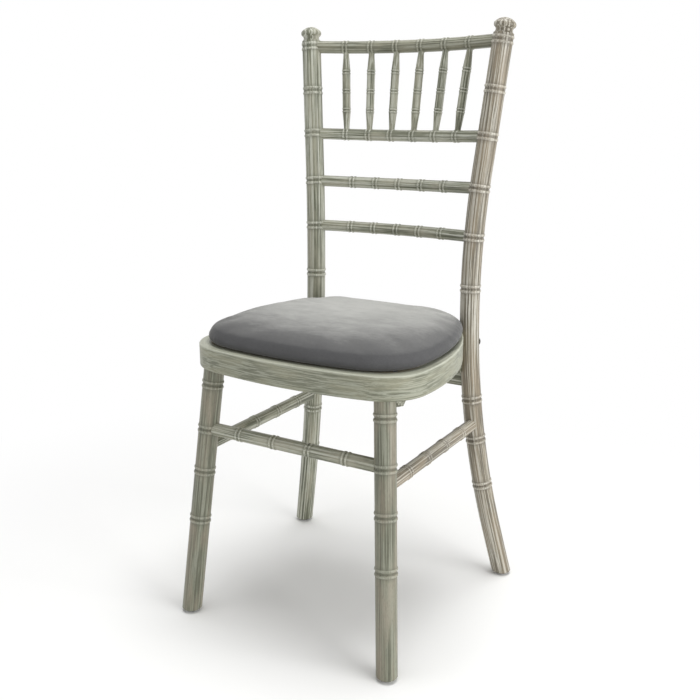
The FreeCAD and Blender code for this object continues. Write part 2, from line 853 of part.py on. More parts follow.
head_radius = size["bolt_head_diameter"] / 2
head_dome = size["bolt_head_height"] - size["bolt_head_edge"]
bolt_head = turned("bolt_head", [
    (0, 0),
    (head_radius, 0),
    (head_radius, size["bolt_head_edge"], arc_radius(head_radius, head_dome), head_dome / 4),
    (0, size["bolt_head_height"]),
], FreeCAD.Placement(bolt_seat, aim(bolt_out)))
bolt_key = doc.addObject("Part::Prism", "bolt_key")
bolt_key.Polygon = 6
bind(bolt_key, Circumradius=size["bolt_key_width"] / 2, Height=size["bolt_head_height"])
bolt_key.Placement = FreeCAD.Placement(bolt_seat + bolt_out * plain(size["bolt_head_edge"]), aim(bolt_out))
bolt_right = cut("bolt_right", fuse("bolt_solid", [bolt_head, bolt_rod("bolt_rod", no_extra)]), [bolt_key])
bolt_hole = bolt_rod("bolt_hole", gap)
nodes["seat_ring_bolts"] = group("seat_ring_bolts_pair", [bolt_right, mirrored("bolt_left", bolt_right)])
# Flat on the post for the bolt head
bolt_flat = cylinder("bolt_flat", bolt_seat, bolt_out, head_radius + size["bolt_head_clearance"], half_post)


# Back posts

post_nodes = [size[name] for name in (
    "top_rail_height", "upper_post_node", "spindle_rail_height", "upper_ladder_height",
    "lower_ladder_height", "lower_back_node", "high_rear_leg_node", "middle_rear_leg_node",
    "low_rear_leg_node")]
post_bar = post_pipe("post_bar", half_post)
finial_swell = size["finial_diameter"] / 2 - half_post
neck_depth = half_post - size["finial_neck_diameter"] / 2
cap_bottom = size["finial_shoulder"] + size["finial_cove_width"]
cap_edge = cap_bottom + size["finial_cap_edge"]
dome_rise = size["finial_height"] - cap_edge
finial = turned("finial", [
    (0, 0),
    (half_post, 0),
    (half_post, size["finial_shoulder"], arc_radius(size["finial_cove_width"] / 2, neck_depth),
     neck_depth * -1),
    (half_post, cap_bottom, arc_radius(size["finial_cap_edge"] / 2, finial_swell), finial_swell),
    (half_post, cap_edge, arc_radius(half_post, dome_rise), dome_rise / 4),
    (0, size["finial_height"]),
], FreeCAD.Placement(finial_start, aim(top_run)))
post_blank = with_nodes("back_post", fuse("post_with_finial", [post_bar, finial]),
                        [post_at(plain(height)) for height in post_nodes], half_post, "large")
below_floor = box("below_floor", V(-plain(size["back_foot_spread"]), -plain(size["chair_height"]),
                                   -plain(size["chair_height"]) + plain(size["glide_height"])),
                  size["back_foot_spread"] * 2, size["chair_height"] * 2, size["chair_height"])
seat_notch = plate("seat_notch", seat, -plain(gap), leg_top_height - gap, size["seat_ring_height"] + gap * 2)
post_core = post_pipe("post_core", half_post + gap / 2, plain(size["finial_height"]))
rail_room = cut("rail_room", fuse("rail_bars", [rail.clearance() for rail in rails]), [post_core])
post_cutters = [rail.mortise() for rail in rails] + [
    rail_room,
    rail_mortise, side_hole, seat_notch, bolt_hole, bolt_flat, below_floor]


def chamfered_foot(name, source):
    """Break the floor edge of a leg, but not the nail hole's edge."""
    doc.recompute()
    level = plain(size["glide_height"])
    reach = plain(size["foot_chamfer"])
    edges = []
    for number, edge in enumerate(source.Shape.Edges, start=1):
        bounds = edge.BoundBox
        if bounds.ZMax < level + EDGE_TOLERANCE and bounds.XLength > plain(half_leg):
            edges.append((number, reach, reach))
    chamfer = doc.addObject("Part::Chamfer", name)
    chamfer.Base = source
    chamfer.Edges = edges
    return chamfer


# Glides and their nails

foot_places = {
    "front_right": leg_at(plain(size["glide_height"])),
    "rear_right": post_at(plain(size["glide_height"]))[0],
}
glides = {}
nails = []
nail_holes = {}
nail_shank = size["nail_diameter"] / 2
nail_head = size["nail_head_diameter"] / 2
head_top = size["nail_recess"] + size["nail_head_height"]
nail_tip = size["nail_recess"] + size["nail_length"]
for corner, place in foot_places.items():
    ground = FreeCAD.Placement(V(place.x, place.y, 0), FreeCAD.Rotation())
    glide_blank = turned("glide_blank_" + corner, [
        (0, 0),
        (size["glide_face_diameter"] / 2, 0),
        (size["glide_diameter"] / 2, size["glide_edge_height"]),
        (size["glide_diameter"] / 2, size["glide_height"]),
        (0, size["glide_height"]),
    ], ground)
    nail = turned("nail_" + corner, [
        (0, size["nail_recess"]),
        (nail_head, size["nail_recess"]),
        (nail_head, head_top),
        (nail_shank, head_top),
        (nail_shank, nail_tip - size["nail_diameter"]),
        (0, nail_tip),
    ], ground)
    recess = turned("nail_recess_" + corner, [
        (0, 0),
        (nail_head + gap, 0),
        (nail_head + gap, head_top + gap),
        (nail_shank + gap, head_top + gap),
        (nail_shank + gap, nail_tip + gap),
        (0, nail_tip + gap),
    ], ground)
    nail_holes[corner] = recess
    glides[corner] = cut("glide_" + corner, glide_blank, [recess])
    nails.append(nail)
    nails.append(mirrored("nail_left_of_" + corner, nail))
nodes["front_glide_right"] = glides["front_right"]
nodes["front_glide_left"] = mirrored("front_glide_left_mirror", glides["front_right"])
nodes["rear_glide_right"] = glides["rear_right"]
nodes["rear_glide_left"] = mirrored("rear_glide_left_mirror", glides["rear_right"])
nodes["glide_nails"] = group("glide_nails_group", nails)

post_right = cut("post_right", post_blank, post_cutters + [nail_holes["rear_right"]])
nodes["back_post_right"] = chamfered_foot("post_right_chamfered", post_right)
nodes["back_post_left"] = mirrored("back_post_left_mirror", nodes["back_post_right"])


# Front legs

TENON_ROOT = 2
leg_radius_tenon = size["leg_tenon_diameter"] / 2
leg_start = leg_at(-FOOT_OVERRUN)
leg_length = (leg_top - leg_start).Length + FOOT_OVERRUN
leg_profile = [(0, 0), (half_leg, 0)]
for name in ("low_front_leg_node", "middle_front_leg_node", "front_stretcher_height",
             "high_front_leg_node"):
    on_axis = (size[name] + FOOT_OVERRUN) / leg_direction.z
    leg_profile += node_profile(on_axis, half_leg, "large")
leg_profile += [(half_leg, along(leg_length, 1)), (0, along(leg_length, 1))]
leg_blank = turned("front_leg_turning", leg_profile, FreeCAD.Placement(leg_start, aim(leg_direction)))
above_leg = box("above_leg", V(0, -plain(size["chair_height"]), plain(leg_top_height)),
                size["front_foot_spread"], size["chair_height"], size["chair_height"])
leg_core = cylinder("leg_core", leg_start, leg_direction, half_leg + gap / 2, leg_length)
front_room = cut("front_stretcher_bead_room", front_bar_room, [leg_core])
leg_shouldered = cut("leg_shouldered", leg_blank, [above_leg, front_hole, side_hole, front_room, below_floor,
                                                   nail_holes["front_right"]])
leg_chamfered = chamfered_foot("leg_chamfered", leg_shouldered)
leg_tenon = cylinder("leg_tenon", leg_top - V(0, 0, TENON_ROOT), V(0, 0, 1), leg_radius_tenon,
                     size["leg_tenon_length"] + TENON_ROOT)
nodes["front_leg_right"] = fuse("front_leg_right_with_tenon", [leg_chamfered, leg_tenon])
nodes["front_leg_left"] = mirrored("front_leg_left_mirror", nodes["front_leg_right"])
leg_mortise = cylinder("leg_mortise", leg_top - V(0, 0, TENON_ROOT), V(0, 0, 1), leg_radius_tenon + gap,
                       size["leg_tenon_length"] + TENON_ROOT + gap)


# Glue blocks in the corners under the ring

# How far a glue block's end stays upright, and how far its slope runs, as shares of its height
BLOCK_END = 0.3
BLOCK_SLOPE = 0.35


def glue_block(name, corner_point, heading, length, height, width, cutters):
    """Block under the ring: full height at the leg, sloped away at the other end."""
    down = V(0, 0, -1)
    across = down.cross(heading)
    body = doc.addObject("PartDesign::Body", name + "_blank")
    side = new_sketch(body, name + "_side", "XZ_Plane")
    draw_polygon(side, [
        (0, 0),
        (length, 0),
        (length, height * BLOCK_END),
        (length - height * BLOCK_SLOPE, height),
        (0, height),
    ])
    pad = body.newObject("PartDesign::Pad", name + "_pad")
    pad.Profile = side
    bind(pad, Length=width)
    start = corner_point + across * (plain(width) / 2)
    body.Placement = FreeCAD.Placement(start, FreeCAD.Rotation(heading, across, down, "ZXY"))
    return cut(name, body, cutters)


seat_bottom = plain(leg_top_height)
front_target = seat.corner_end(plain(size["seat_ring_thickness"]) / 2)
front_along = V(front_target.x - leg_top.x, front_target.y - leg_top.y, 0).normalize()
front_block = glue_block("front_glue_block", leg_top, front_along, half_leg + size["front_block_length"],
                         size["front_block_height"], size["front_block_width"], [leg_envelope])
nodes["front_glue_block_right"] = front_block
nodes["front_glue_block_left"] = mirrored("front_glue_block_left_mirror", front_block)

rail_front = rail_centre.y - plain(rail_thick) / 2
rear_corner = V(rail_centre.x - plain(size["rear_block_offset"]), rail_front, seat_bottom)
rear_blank = glue_block("rear_glue_block", rear_corner, V(0, -1, 0), size["rear_block_length"],
                        size["rear_block_height"], size["rear_block_width"], [post_envelope])


# Screws

def wood_screw(name, head, direction, length, extra):
    """Countersunk screw with its head flush at a point; extra makes the hole for it."""
    radius = size["screw_diameter"] / 2
    head_radius = size["screw_head_diameter"] / 2
    return turned(name, [
        (0, 0),
        (head_radius + extra, 0),
        (radius + extra, size["screw_head_height"] + extra),
        (radius + extra, length - radius),
        (0, length + extra * 2),
    ], FreeCAD.Placement(head, aim(direction)))


def screw_row(name, heads, direction, length):
    """Screws and their holes at a row of heads."""
    screws = []
    holes = []
    for number, head in enumerate(heads, start=1):
        screws.append(wood_screw("{}_{}".format(name, number), head, direction, length, no_extra))
        holes.append(wood_screw("{}_hole_{}".format(name, number), head, direction, length, gap))
    return screws, holes


block_head = rear_corner + V(0, -plain(size["rear_block_length"]), -plain(size["block_screw_depth"]))
block_screws, block_holes = screw_row("block_screw", [block_head, flip(block_head)], V(0, 1, 0),
                                      size["block_screw_length"])
nodes["block_screws"] = group("block_screws_group", block_screws)
nodes["rear_glue_block_right"] = cut("rear_glue_block_drilled", rear_blank, [block_holes[0]])
nodes["rear_glue_block_left"] = mirrored("rear_glue_block_left_mirror", nodes["rear_glue_block_right"])

panel_seat = size["seat_top"] - size["panel_thickness"]
screw_line = plain(size["seat_ring_thickness"]) - plain(size["panel_rebate"]) / 2
rail_screw_heads = [V(side * plain(size["rail_screw_spread"]) / 2, plain(size["seat_rear"]) - screw_line,
                      plain(panel_seat)) for side in (-1, 1)]
rail_screws, rail_holes = screw_row("rail_screw", rail_screw_heads, V(0, 0, -1), size["rail_screw_length"])
nodes["rail_screws"] = group("rail_screws_group", rail_screws)

panel_screw_heads = []
for place in seat.fixing_points(screw_line):
    panel_screw_heads.append(V(place.x, place.y, plain(size["seat_top"])))
panel_screws, panel_holes = screw_row("panel_screw", panel_screw_heads, V(0, 0, -1),
                                      size["panel_screw_length"])
nodes["panel_screws"] = group("panel_screws_group", panel_screws)

nodes["rear_seat_rail"] = cut("rear_seat_rail_drilled", rail_with_tenons, rail_holes + block_holes)


# Seat ring and its panel

def pocket(body, name, outline, inset, height, depth):
    """Pocket with the seat's outline, cut downwards from a height."""
    sketch = new_sketch(body, name + "_outline", "XY_Plane", height)
    for edge in outline.edges(inset):
        sketch.addGeometry(edge)
    hollow = body.newObject("PartDesign::Pocket", name)
    hollow.Profile = sketch
    bind(hollow, Length=depth)
    return hollow


ring_body = plate("seat_ring_body", seat, 0.0, leg_top_height, size["seat_ring_height"])
pocket(ring_body, "ring_opening", seat, plain(size["seat_ring_thickness"]), size["seat_ring_height"],
       size["seat_ring_height"])
rebate_inset = plain(size["seat_ring_thickness"] - size["panel_rebate"])
rebate = pocket(ring_body, "ring_rebate", seat, rebate_inset, size["seat_ring_height"],
                size["panel_thickness"])
doc.recompute()
rim = []
for number, edge in enumerate(rebate.Shape.Edges, start=1):
    bounds = edge.BoundBox
    flat = bounds.ZLength < EDGE_TOLERANCE
    middle = edge.valueAt((edge.FirstParameter + edge.LastParameter) / 2)
    if flat and seat.distance_inside(middle) < EDGE_TOLERANCE:
        rim.append("Edge{}".format(number))
rounding = ring_body.newObject("PartDesign::Fillet", "ring_rounding")
rounding.Base = (rebate, rim)
bind(rounding, Radius=size["seat_edge_rounding"])
nodes["seat_ring"] = cut("seat_ring_drilled", ring_body, [
    leg_mortise, mirrored("leg_mortise_left", leg_mortise), bolt_hole,
    mirrored("bolt_hole_left", bolt_hole)] + rail_holes + panel_holes)

panel_body = plate("seat_panel_body", seat, rebate_inset + plain(size["panel_clearance"]), panel_seat,
                   size["panel_thickness"])
nodes["seat_panel"] = cut("seat_panel_drilled", panel_body, panel_holes)


# Hook-and-loop strips between the panel and the pad

def strip_pair(name, bottom):
    """A strip on each side of the seat's middle."""
    strips = []
    for side, word in ((-1, "left"), (1, "right")):
        corner = V(side * plain(size["strip_spread"]) / 2 - plain(size["strip_width"]) / 2,
                   -plain(size["strip_length"]) / 2, plain(bottom))
        strips.append(box("{}_{}".format(name, word), corner, size["strip_width"],
                          size["strip_length"], size["strip_thickness"]))
    return group(name + "_pair", strips)


nodes["panel_loop_strips"] = strip_pair("panel_loop_strip", size["seat_top"])
hook_bottom = size["seat_top"] + size["strip_thickness"] + size["soft_clearance"]
nodes["pad_hook_strips"] = strip_pair("pad_hook_strip", hook_bottom)


# Seat pad: board, foam and velvet cover

pad_outline = SeatOutline(plain(size["seat_width"] - size["pad_side_inset"] * 2),
                          plain(size["seat_front"] - size["pad_front_inset"]),
                          plain(size["seat_rear"] - size["pad_rear_inset"]),
                          plain(size["pad_corner_radius"]), plain(size["pad_rear_radius"]))
pad_middle = plain(size["seat_rear"] - size["seat_front"]) / 2
# Sides drawn in at the bottom, fullest low down, then a dome of flattened arcs
PAD_FULLEST = 0.3
PAD_PROFILE = [(0.955, 0.0), (0.986, 0.13), (1.0, PAD_FULLEST)]
PAD_DOME_STEPS = (18, 34, 48, 60, 70, 78)
for degrees in PAD_DOME_STEPS:
    slope = math.radians(degrees)
    climb = math.sin(slope) / math.sin(math.radians(PAD_DOME_STEPS[-1]))
    PAD_PROFILE.append((math.sqrt(math.cos(slope)), PAD_FULLEST + (1 - PAD_FULLEST) * climb))


def crowned(name, inset, bottom, top):
    """Crowned form: sides drawn in at the bottom, fullest low down, domed on top."""
    body = doc.addObject("PartDesign::Body", name)
    shrink = 1 - plain(inset) * 2 / plain(size["seat_width"])
    sections = []
    for number, (width_share, height_share) in enumerate(PAD_PROFILE):
        level = bottom + (top - bottom) * height_share
        sketch = new_sketch(body, "{}_section_{}".format(name, number), "XY_Plane", level)
        for edge in pad_outline.edges(0.0, width_share * shrink, pad_middle):
            sketch.addGeometry(edge)
        sections.append(sketch)
    loft = body.newObject("PartDesign::AdditiveLoft", name + "_loft")
    loft.Profile = sections[0]
    loft.Sections = sections[1:]
    loft.Ruled = False
    return body


underlining_bottom = hook_bottom + size["strip_thickness"]
board_bottom = underlining_bottom + size["pad_underlining_thickness"]
cover_bottom = board_bottom - size["pad_cover_thickness"]
nodes["pad_underlining"] = plate("pad_underlining_body", pad_outline,
                                 plain(size["pad_hem"] + size["soft_clearance"]), underlining_bottom,
                                 size["pad_underlining_thickness"])
nodes["pad_board"] = plate("pad_board_body", pad_outline, plain(size["pad_board_inset"]), board_bottom,
                           size["pad_board_thickness"])
cover_thickness = size["pad_cover_thickness"]
cover_form = crowned("cover_form", no_extra, cover_bottom, size["pad_crown"])
cavity = crowned("cover_cavity", cover_thickness, board_bottom, size["pad_crown"] - cover_thickness)
hem_opening = plate("hem_opening", pad_outline, plain(size["pad_hem"]), cover_bottom - gap,
                    cover_thickness + gap * 2)
nodes["pad_cover"] = cut("pad_cover_shell", cover_form, [cavity, hem_opening])
foam_form = crowned("foam_form", cover_thickness + size["soft_clearance"],
                    board_bottom, size["pad_crown"] - cover_thickness - size["soft_clearance"])
board_room = plate("board_room", seat, 0.0, board_bottom - size["soft_clearance"],
                   size["pad_board_thickness"] + size["soft_clearance"] * 2)
nodes["pad_foam"] = cut("pad_foam_block", foam_form, [board_room])


# Check every piece, then write one file per piece

def write_parts():
    doc.recompute()
    failed = [item.Name for item in doc.Objects if "Invalid" in item.State or "Error" in item.State]
    if failed:
        raise RuntimeError("failed objects: {}".format(failed))
    os.makedirs("parts", exist_ok=True)
    for name, piece in nodes.items():
        piece.Label = name
        if piece.Label != name:
            raise RuntimeError("label {} is taken".format(name))
        shape = piece.Shape
        if shape.isNull() or not shape.isValid() or not shape.Solids:
            raise RuntimeError("{} has no valid solid".format(name))
        print("{:24s} solids {} volume {:10.0f}".format(name, len(shape.Solids), shape.Volume))
        shape.exportStep("parts/{}.step".format(name))


write_parts()
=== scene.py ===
"""Dressed chiavari chair: limewashed beech turnings, a bentwood seat ring and a grey velvet seat pad.

Lengths are in metres, in the frame of the CAD part: Z is up, the chair faces -Y and +X is on the
right seen from the front. The wooden pieces are the CAD solids with a grain that follows each
turning; the seat pad is upholstered here, over the CAD pad's own outline.
"""

import json
import logging
import math
from dataclasses import dataclass
from enum import Enum
from functools import partial

import bmesh
import bpy
from mathutils import Matrix, Vector
from mathutils.kdtree import KDTree

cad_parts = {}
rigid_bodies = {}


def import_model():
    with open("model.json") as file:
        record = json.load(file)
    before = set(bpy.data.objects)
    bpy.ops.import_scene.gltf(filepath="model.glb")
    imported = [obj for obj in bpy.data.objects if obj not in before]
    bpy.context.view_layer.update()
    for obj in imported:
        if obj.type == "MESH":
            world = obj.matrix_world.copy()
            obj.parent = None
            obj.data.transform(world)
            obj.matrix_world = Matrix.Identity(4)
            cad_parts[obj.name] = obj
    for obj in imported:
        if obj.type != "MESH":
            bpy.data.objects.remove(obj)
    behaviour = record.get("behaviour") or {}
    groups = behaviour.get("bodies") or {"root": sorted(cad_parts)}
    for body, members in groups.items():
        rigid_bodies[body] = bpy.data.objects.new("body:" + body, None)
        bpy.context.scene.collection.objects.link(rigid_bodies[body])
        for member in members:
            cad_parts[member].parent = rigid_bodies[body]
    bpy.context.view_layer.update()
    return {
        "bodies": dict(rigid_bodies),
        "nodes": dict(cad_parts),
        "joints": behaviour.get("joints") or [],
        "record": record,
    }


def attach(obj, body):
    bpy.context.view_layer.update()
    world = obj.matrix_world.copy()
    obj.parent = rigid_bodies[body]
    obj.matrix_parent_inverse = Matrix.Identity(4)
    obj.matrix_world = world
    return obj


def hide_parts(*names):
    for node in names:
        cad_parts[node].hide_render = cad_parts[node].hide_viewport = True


log = logging.getLogger("chair")
MM = 0.001
# Sockets of a Mix node for colours
FACTOR, UNDER, OVER, MIXED = 0, 6, 7, 2


# Colours and shader nodes


def linear(code: str) -> tuple[float, float, float, float]:
    """Turn an sRGB hex colour into the linear colour that shaders use.

    Args:
        code: Colour such as "#A8A898".

    Returns:
        Red, green, blue and an alpha of 1.
    """
    parts = [int(code[i : i + 2], 16) / 255 for i in (1, 3, 5)]
    return (*[c / 12.92 if c <= 0.04045 else ((c + 0.055) / 1.055) ** 2.4 for c in parts], 1.0)


def plug(tree: bpy.types.NodeTree, node: bpy.types.Node, inputs: dict | tuple) -> None:
    """Set or link the inputs of a node.

    Args:
        tree: Node tree.
        node: The node.
        inputs: Values, sockets or nodes, in the order of the node's inputs or keyed by an input's
            name or number. A node stands for its first output.
    """
    given = inputs if isinstance(inputs, dict) else dict(enumerate(inputs))
    for name, value in given.items():
        source = value.outputs[0] if isinstance(value, bpy.types.Node) else value
        if isinstance(source, bpy.types.NodeSocket):
            tree.links.new(source, node.inputs[name])
        else:
            node.inputs[name].default_value = source


def add_node(tree: bpy.types.NodeTree, kind: str, inputs: dict | tuple = (), stops: tuple = (),
             **settings: object) -> bpy.types.Node:
    """Add a shader node with its settings, values and incoming links.

    Args:
        tree: Node tree that gets the node.
        kind: Type name without its "ShaderNode" start.
        inputs: What its inputs get, as plug takes it.
        stops: Pairs of a position and a grey level or a hex colour, for a colour ramp.
        **settings: Properties of the node.

    Returns:
        The new node.
    """
    node = tree.nodes.new("ShaderNode" + kind)
    for name, value in settings.items():
        setattr(node, name, value)
    plug(tree, node, inputs)
    for _ in stops[2:]:
        node.color_ramp.elements.new(0.5)
    for number, (place, tone) in enumerate(stops):
        element = node.color_ramp.elements[number]
        element.position = place
        element.color = linear(tone) if isinstance(tone, str) else (tone, tone, tone, 1.0)
    return node


def pattern(tree: bpy.types.NodeTree, vector: bpy.types.NodeSocket, size_mm: tuple, detail: float,
            seed: float) -> bpy.types.NodeSocket:
    """Random pattern whose lumps have a real size along each axis.

    Args:
        tree: Node tree.
        vector: Coordinates in metres.
        size_mm: Size of a lump along X, Y and Z, in millimetres.
        detail: Octaves of finer lumps.
        seed: Shift that makes another pattern, counted in lumps.

    Returns:
        The pattern's socket.
    """
    scale = tuple(1.0 / (size * MM) for size in size_mm)
    placed = add_node(tree, "Mapping", {"Vector": vector, "Location": (seed,) * 3, "Scale": scale})
    return add_node(tree, "TexNoise", {"Vector": placed, "Scale": 1.0, "Detail": detail}).outputs[0]


def new_material(name: str) -> tuple[bpy.types.Material, bpy.types.NodeTree, bpy.types.Node]:
    """Start a node material.

    Args:
        name: Name of the material.

    Returns:
        The material, its node tree and its Principled shader.
    """
    material = bpy.data.materials.new(name)
    material.use_nodes = True
    tree = material.node_tree
    shader = next(node for node in tree.nodes if node.type == "BSDF_PRINCIPLED")
    return material, tree, shader


# How the grain runs in a piece


def flipped(point: Vector) -> Vector:
    """The same point on the other side of the chair."""
    return Vector((-point.x, point.y, point.z))


class BeadSize(Enum):
    """Bamboo beads by size: distance between the two beads of a node, in millimetres."""

    LARGE = 8.4
    MEDIUM = 6.6
    SMALL = 4.6


@dataclass(frozen=True)
class StraightGrain:
    """Grain along a straight turning or board, with its bamboo nodes as distances from the start."""

    start: Vector
    end: Vector
    bands: tuple[float, ...] = ()

    def mirrored(self) -> "StraightGrain":
        """The same grain on the other side of the chair."""
        return StraightGrain(flipped(self.start), flipped(self.end), self.bands)

    def coordinates(self, tree: bpy.types.NodeTree) -> tuple:
        """Local coordinates with Z along the grain.

        Args:
            tree: Node tree.

        Returns:
            The local vector's socket and the distance along the piece.
        """
        turn = (self.end - self.start).rotation_difference(Vector((0, 0, 1)))
        shift = turn.to_matrix() @ self.start * -1
        where = add_node(tree, "TexCoord").outputs["Object"]
        local = add_node(tree, "Mapping", {"Vector": where, "Location": shift,
                                           "Rotation": turn.to_euler()}).outputs[0]
        return local, add_node(tree, "SeparateXYZ", (local,)).outputs[2]


@dataclass(frozen=True)
class BentGrain:
    """Grain that follows a back post: straight run, bend and straight run."""

    foot: Vector
    bend: Vector
    top: Vector
    radius: float
    bands: tuple[float, ...] = ()

    def mirrored(self) -> "BentGrain":
        """The same grain on the other side of the chair."""
        ends = (flipped(point) for point in (self.foot, self.bend, self.top))
        return BentGrain(*ends, self.radius, self.bands)

    def limits(self) -> tuple[float, float]:
        """Heights where the bend starts and ends."""
        low = (self.bend - self.foot).normalized()
        high = (self.top - self.bend).normalized()
        reach = self.radius * math.tan(low.angle(high) / 2)
        return self.bend.z - low.z * reach, self.bend.z + high.z * reach

    def slopes(self) -> tuple[Vector, Vector]:
        """Sideways travel per unit of height below and above the bend."""
        low = self.bend - self.foot
        high = self.top - self.bend
        return low / low.z, high / high.z

    def turn_rate(self) -> Vector:
        """Half the change of slope per unit of height inside the bend."""
        start, end = self.limits()
        low, high = self.slopes()
        return (high - low) / (2 * (end - start))

    def centre(self, height: float) -> Vector:
        """Centre of the post at a height.

        Args:
            height: Height above the floor.

        Returns:
            The centre.
        """
        start, end = self.limits()
        inside = min(max(height, start), end)
        turn = (inside - start) ** 2 + 2 * (inside - start) * (height - inside)
        point = self.foot + self.slopes()[0] * height + self.turn_rate() * turn
        return Vector((point.x, point.y, height))

    def coordinates(self, tree: bpy.types.NodeTree) -> tuple:
        """Local coordinates with Z along the post.

        Args:
            tree: Node tree.

        Returns:
            The local vector's socket and the height at which the piece's cross-section is cut.
        """
        add = partial(add_node, tree)
        start, end = self.limits()
        low = self.slopes()[0]
        rate = self.turn_rate()
        split = add("SeparateXYZ", (add("TexCoord").outputs["Object"],)).outputs
        inside = add("Clamp", {"Value": split[2], "Min": start, "Max": end})
        run = add("Math", (inside, start), operation="SUBTRACT")
        beyond = add("Math", (split[2], inside), operation="SUBTRACT")
        twice = add("Math", (beyond, 2.0, run), operation="MULTIPLY_ADD")
        turn = add("Math", (run, twice), operation="MULTIPLY")
        along = split[2]
        sides = []
        for axis in (0, 1):
            straight = add("Math", (split[2], low[axis], self.foot[axis]), operation="MULTIPLY_ADD")
            line = add("Math", (turn, rate[axis], straight), operation="MULTIPLY_ADD")
            side = add("Math", (split[axis], line), operation="SUBTRACT")
            slope = add("Math", (run, 2 * rate[axis], low[axis]), operation="MULTIPLY_ADD")
            along = add("Math", (side, slope, along), operation="MULTIPLY_ADD").outputs[0]
            sides.append(side)
        return add("CombineXYZ", (*sides, along)).outputs[0], along


@dataclass(frozen=True)
class BowedGrain:
    """Grain that follows a rail bent to an arc between the back posts."""

    centre: Vector
    rake: float
    radius: float
    bands: tuple[float, ...] = ()

    def point(self, offset: float) -> Vector:
        """Centre of the rail at a sideways offset.

        Args:
            offset: Distance to the right of the chair's middle.

        Returns:
            The centre.
        """
        angle = math.asin(offset / self.radius)
        out = Vector((0, math.cos(self.rake), -math.sin(self.rake)))
        return self.centre + (Vector((1, 0, 0)) * math.sin(angle) + out * math.cos(angle)) * self.radius

    def coordinates(self, tree: bpy.types.NodeTree) -> tuple:
        """Local coordinates with Z along the arc.

        Args:
            tree: Node tree.

        Returns:
            The local vector's socket and the distance along the rail from the chair's middle.
        """
        add = partial(add_node, tree)
        turn = Matrix.Rotation(self.rake, 3, "X")
        where = add("TexCoord").outputs["Object"]
        flat = add("Mapping", {"Vector": where, "Location": turn @ self.centre * -1,
                               "Rotation": turn.to_euler()})
        split = add("SeparateXYZ", (flat,)).outputs
        depth = add("Math", (split[1], split[1]), operation="MULTIPLY")
        squares = add("Math", (split[0], split[0], depth), operation="MULTIPLY_ADD")
        reach = add("Math", (squares,), operation="SQRT")
        out = add("Math", (reach, self.radius), operation="SUBTRACT")
        angle = add("Math", (split[0], split[1]), operation="ARCTAN2")
        along = add("Math", (angle, self.radius), operation="MULTIPLY").outputs[0]
        return add("CombineXYZ", (out, split[2], along)).outputs[0], along


@dataclass(frozen=True)
class RingGrain:
    """Grain that runs round the bentwood seat ring, a superellipse seen from above."""

    centre: Vector = Vector((0, -0.014, 0))
    half_size: Vector = Vector((0.195, 0.1715, 1.0))
    squareness: float = 4.0
    mean_radius: float = 0.19
    painted_highlight_level: float = 0.441
    bands: tuple[float, ...] = ()

    def coordinates(self, tree: bpy.types.NodeTree) -> tuple:
        """Local coordinates with Z round the ring.

        Args:
            tree: Node tree.

        Returns:
            The local vector's socket and the distance round the ring.
        """
        add = partial(add_node, tree)
        where = add("TexCoord").outputs["Object"]
        flat = add("Mapping", {"Vector": where, "Location": self.centre * -1})
        split = add("SeparateXYZ", (flat,)).outputs
        powers = []
        for axis in (0, 1):
            share = add("Math", (split[axis], self.half_size[axis]), operation="DIVIDE")
            plain = add("Math", (share,), operation="ABSOLUTE")
            powers.append(add("Math", (plain, self.squareness), operation="POWER"))
        total = add("Math", tuple(powers), operation="ADD")
        share = add("Math", (total, 1 / self.squareness), operation="POWER")
        out = add("Math", (share, self.mean_radius), operation="MULTIPLY")
        front = add("Math", (split[1], -1.0), operation="MULTIPLY")
        angle = add("Math", (split[0], front), operation="ARCTAN2")
        along = add("Math", (angle, self.mean_radius), operation="MULTIPLY").outputs[0]
        return add("CombineXYZ", (out, split[2], along)).outputs[0], along


Grain = StraightGrain | BentGrain | BowedGrain | RingGrain


# Finishes


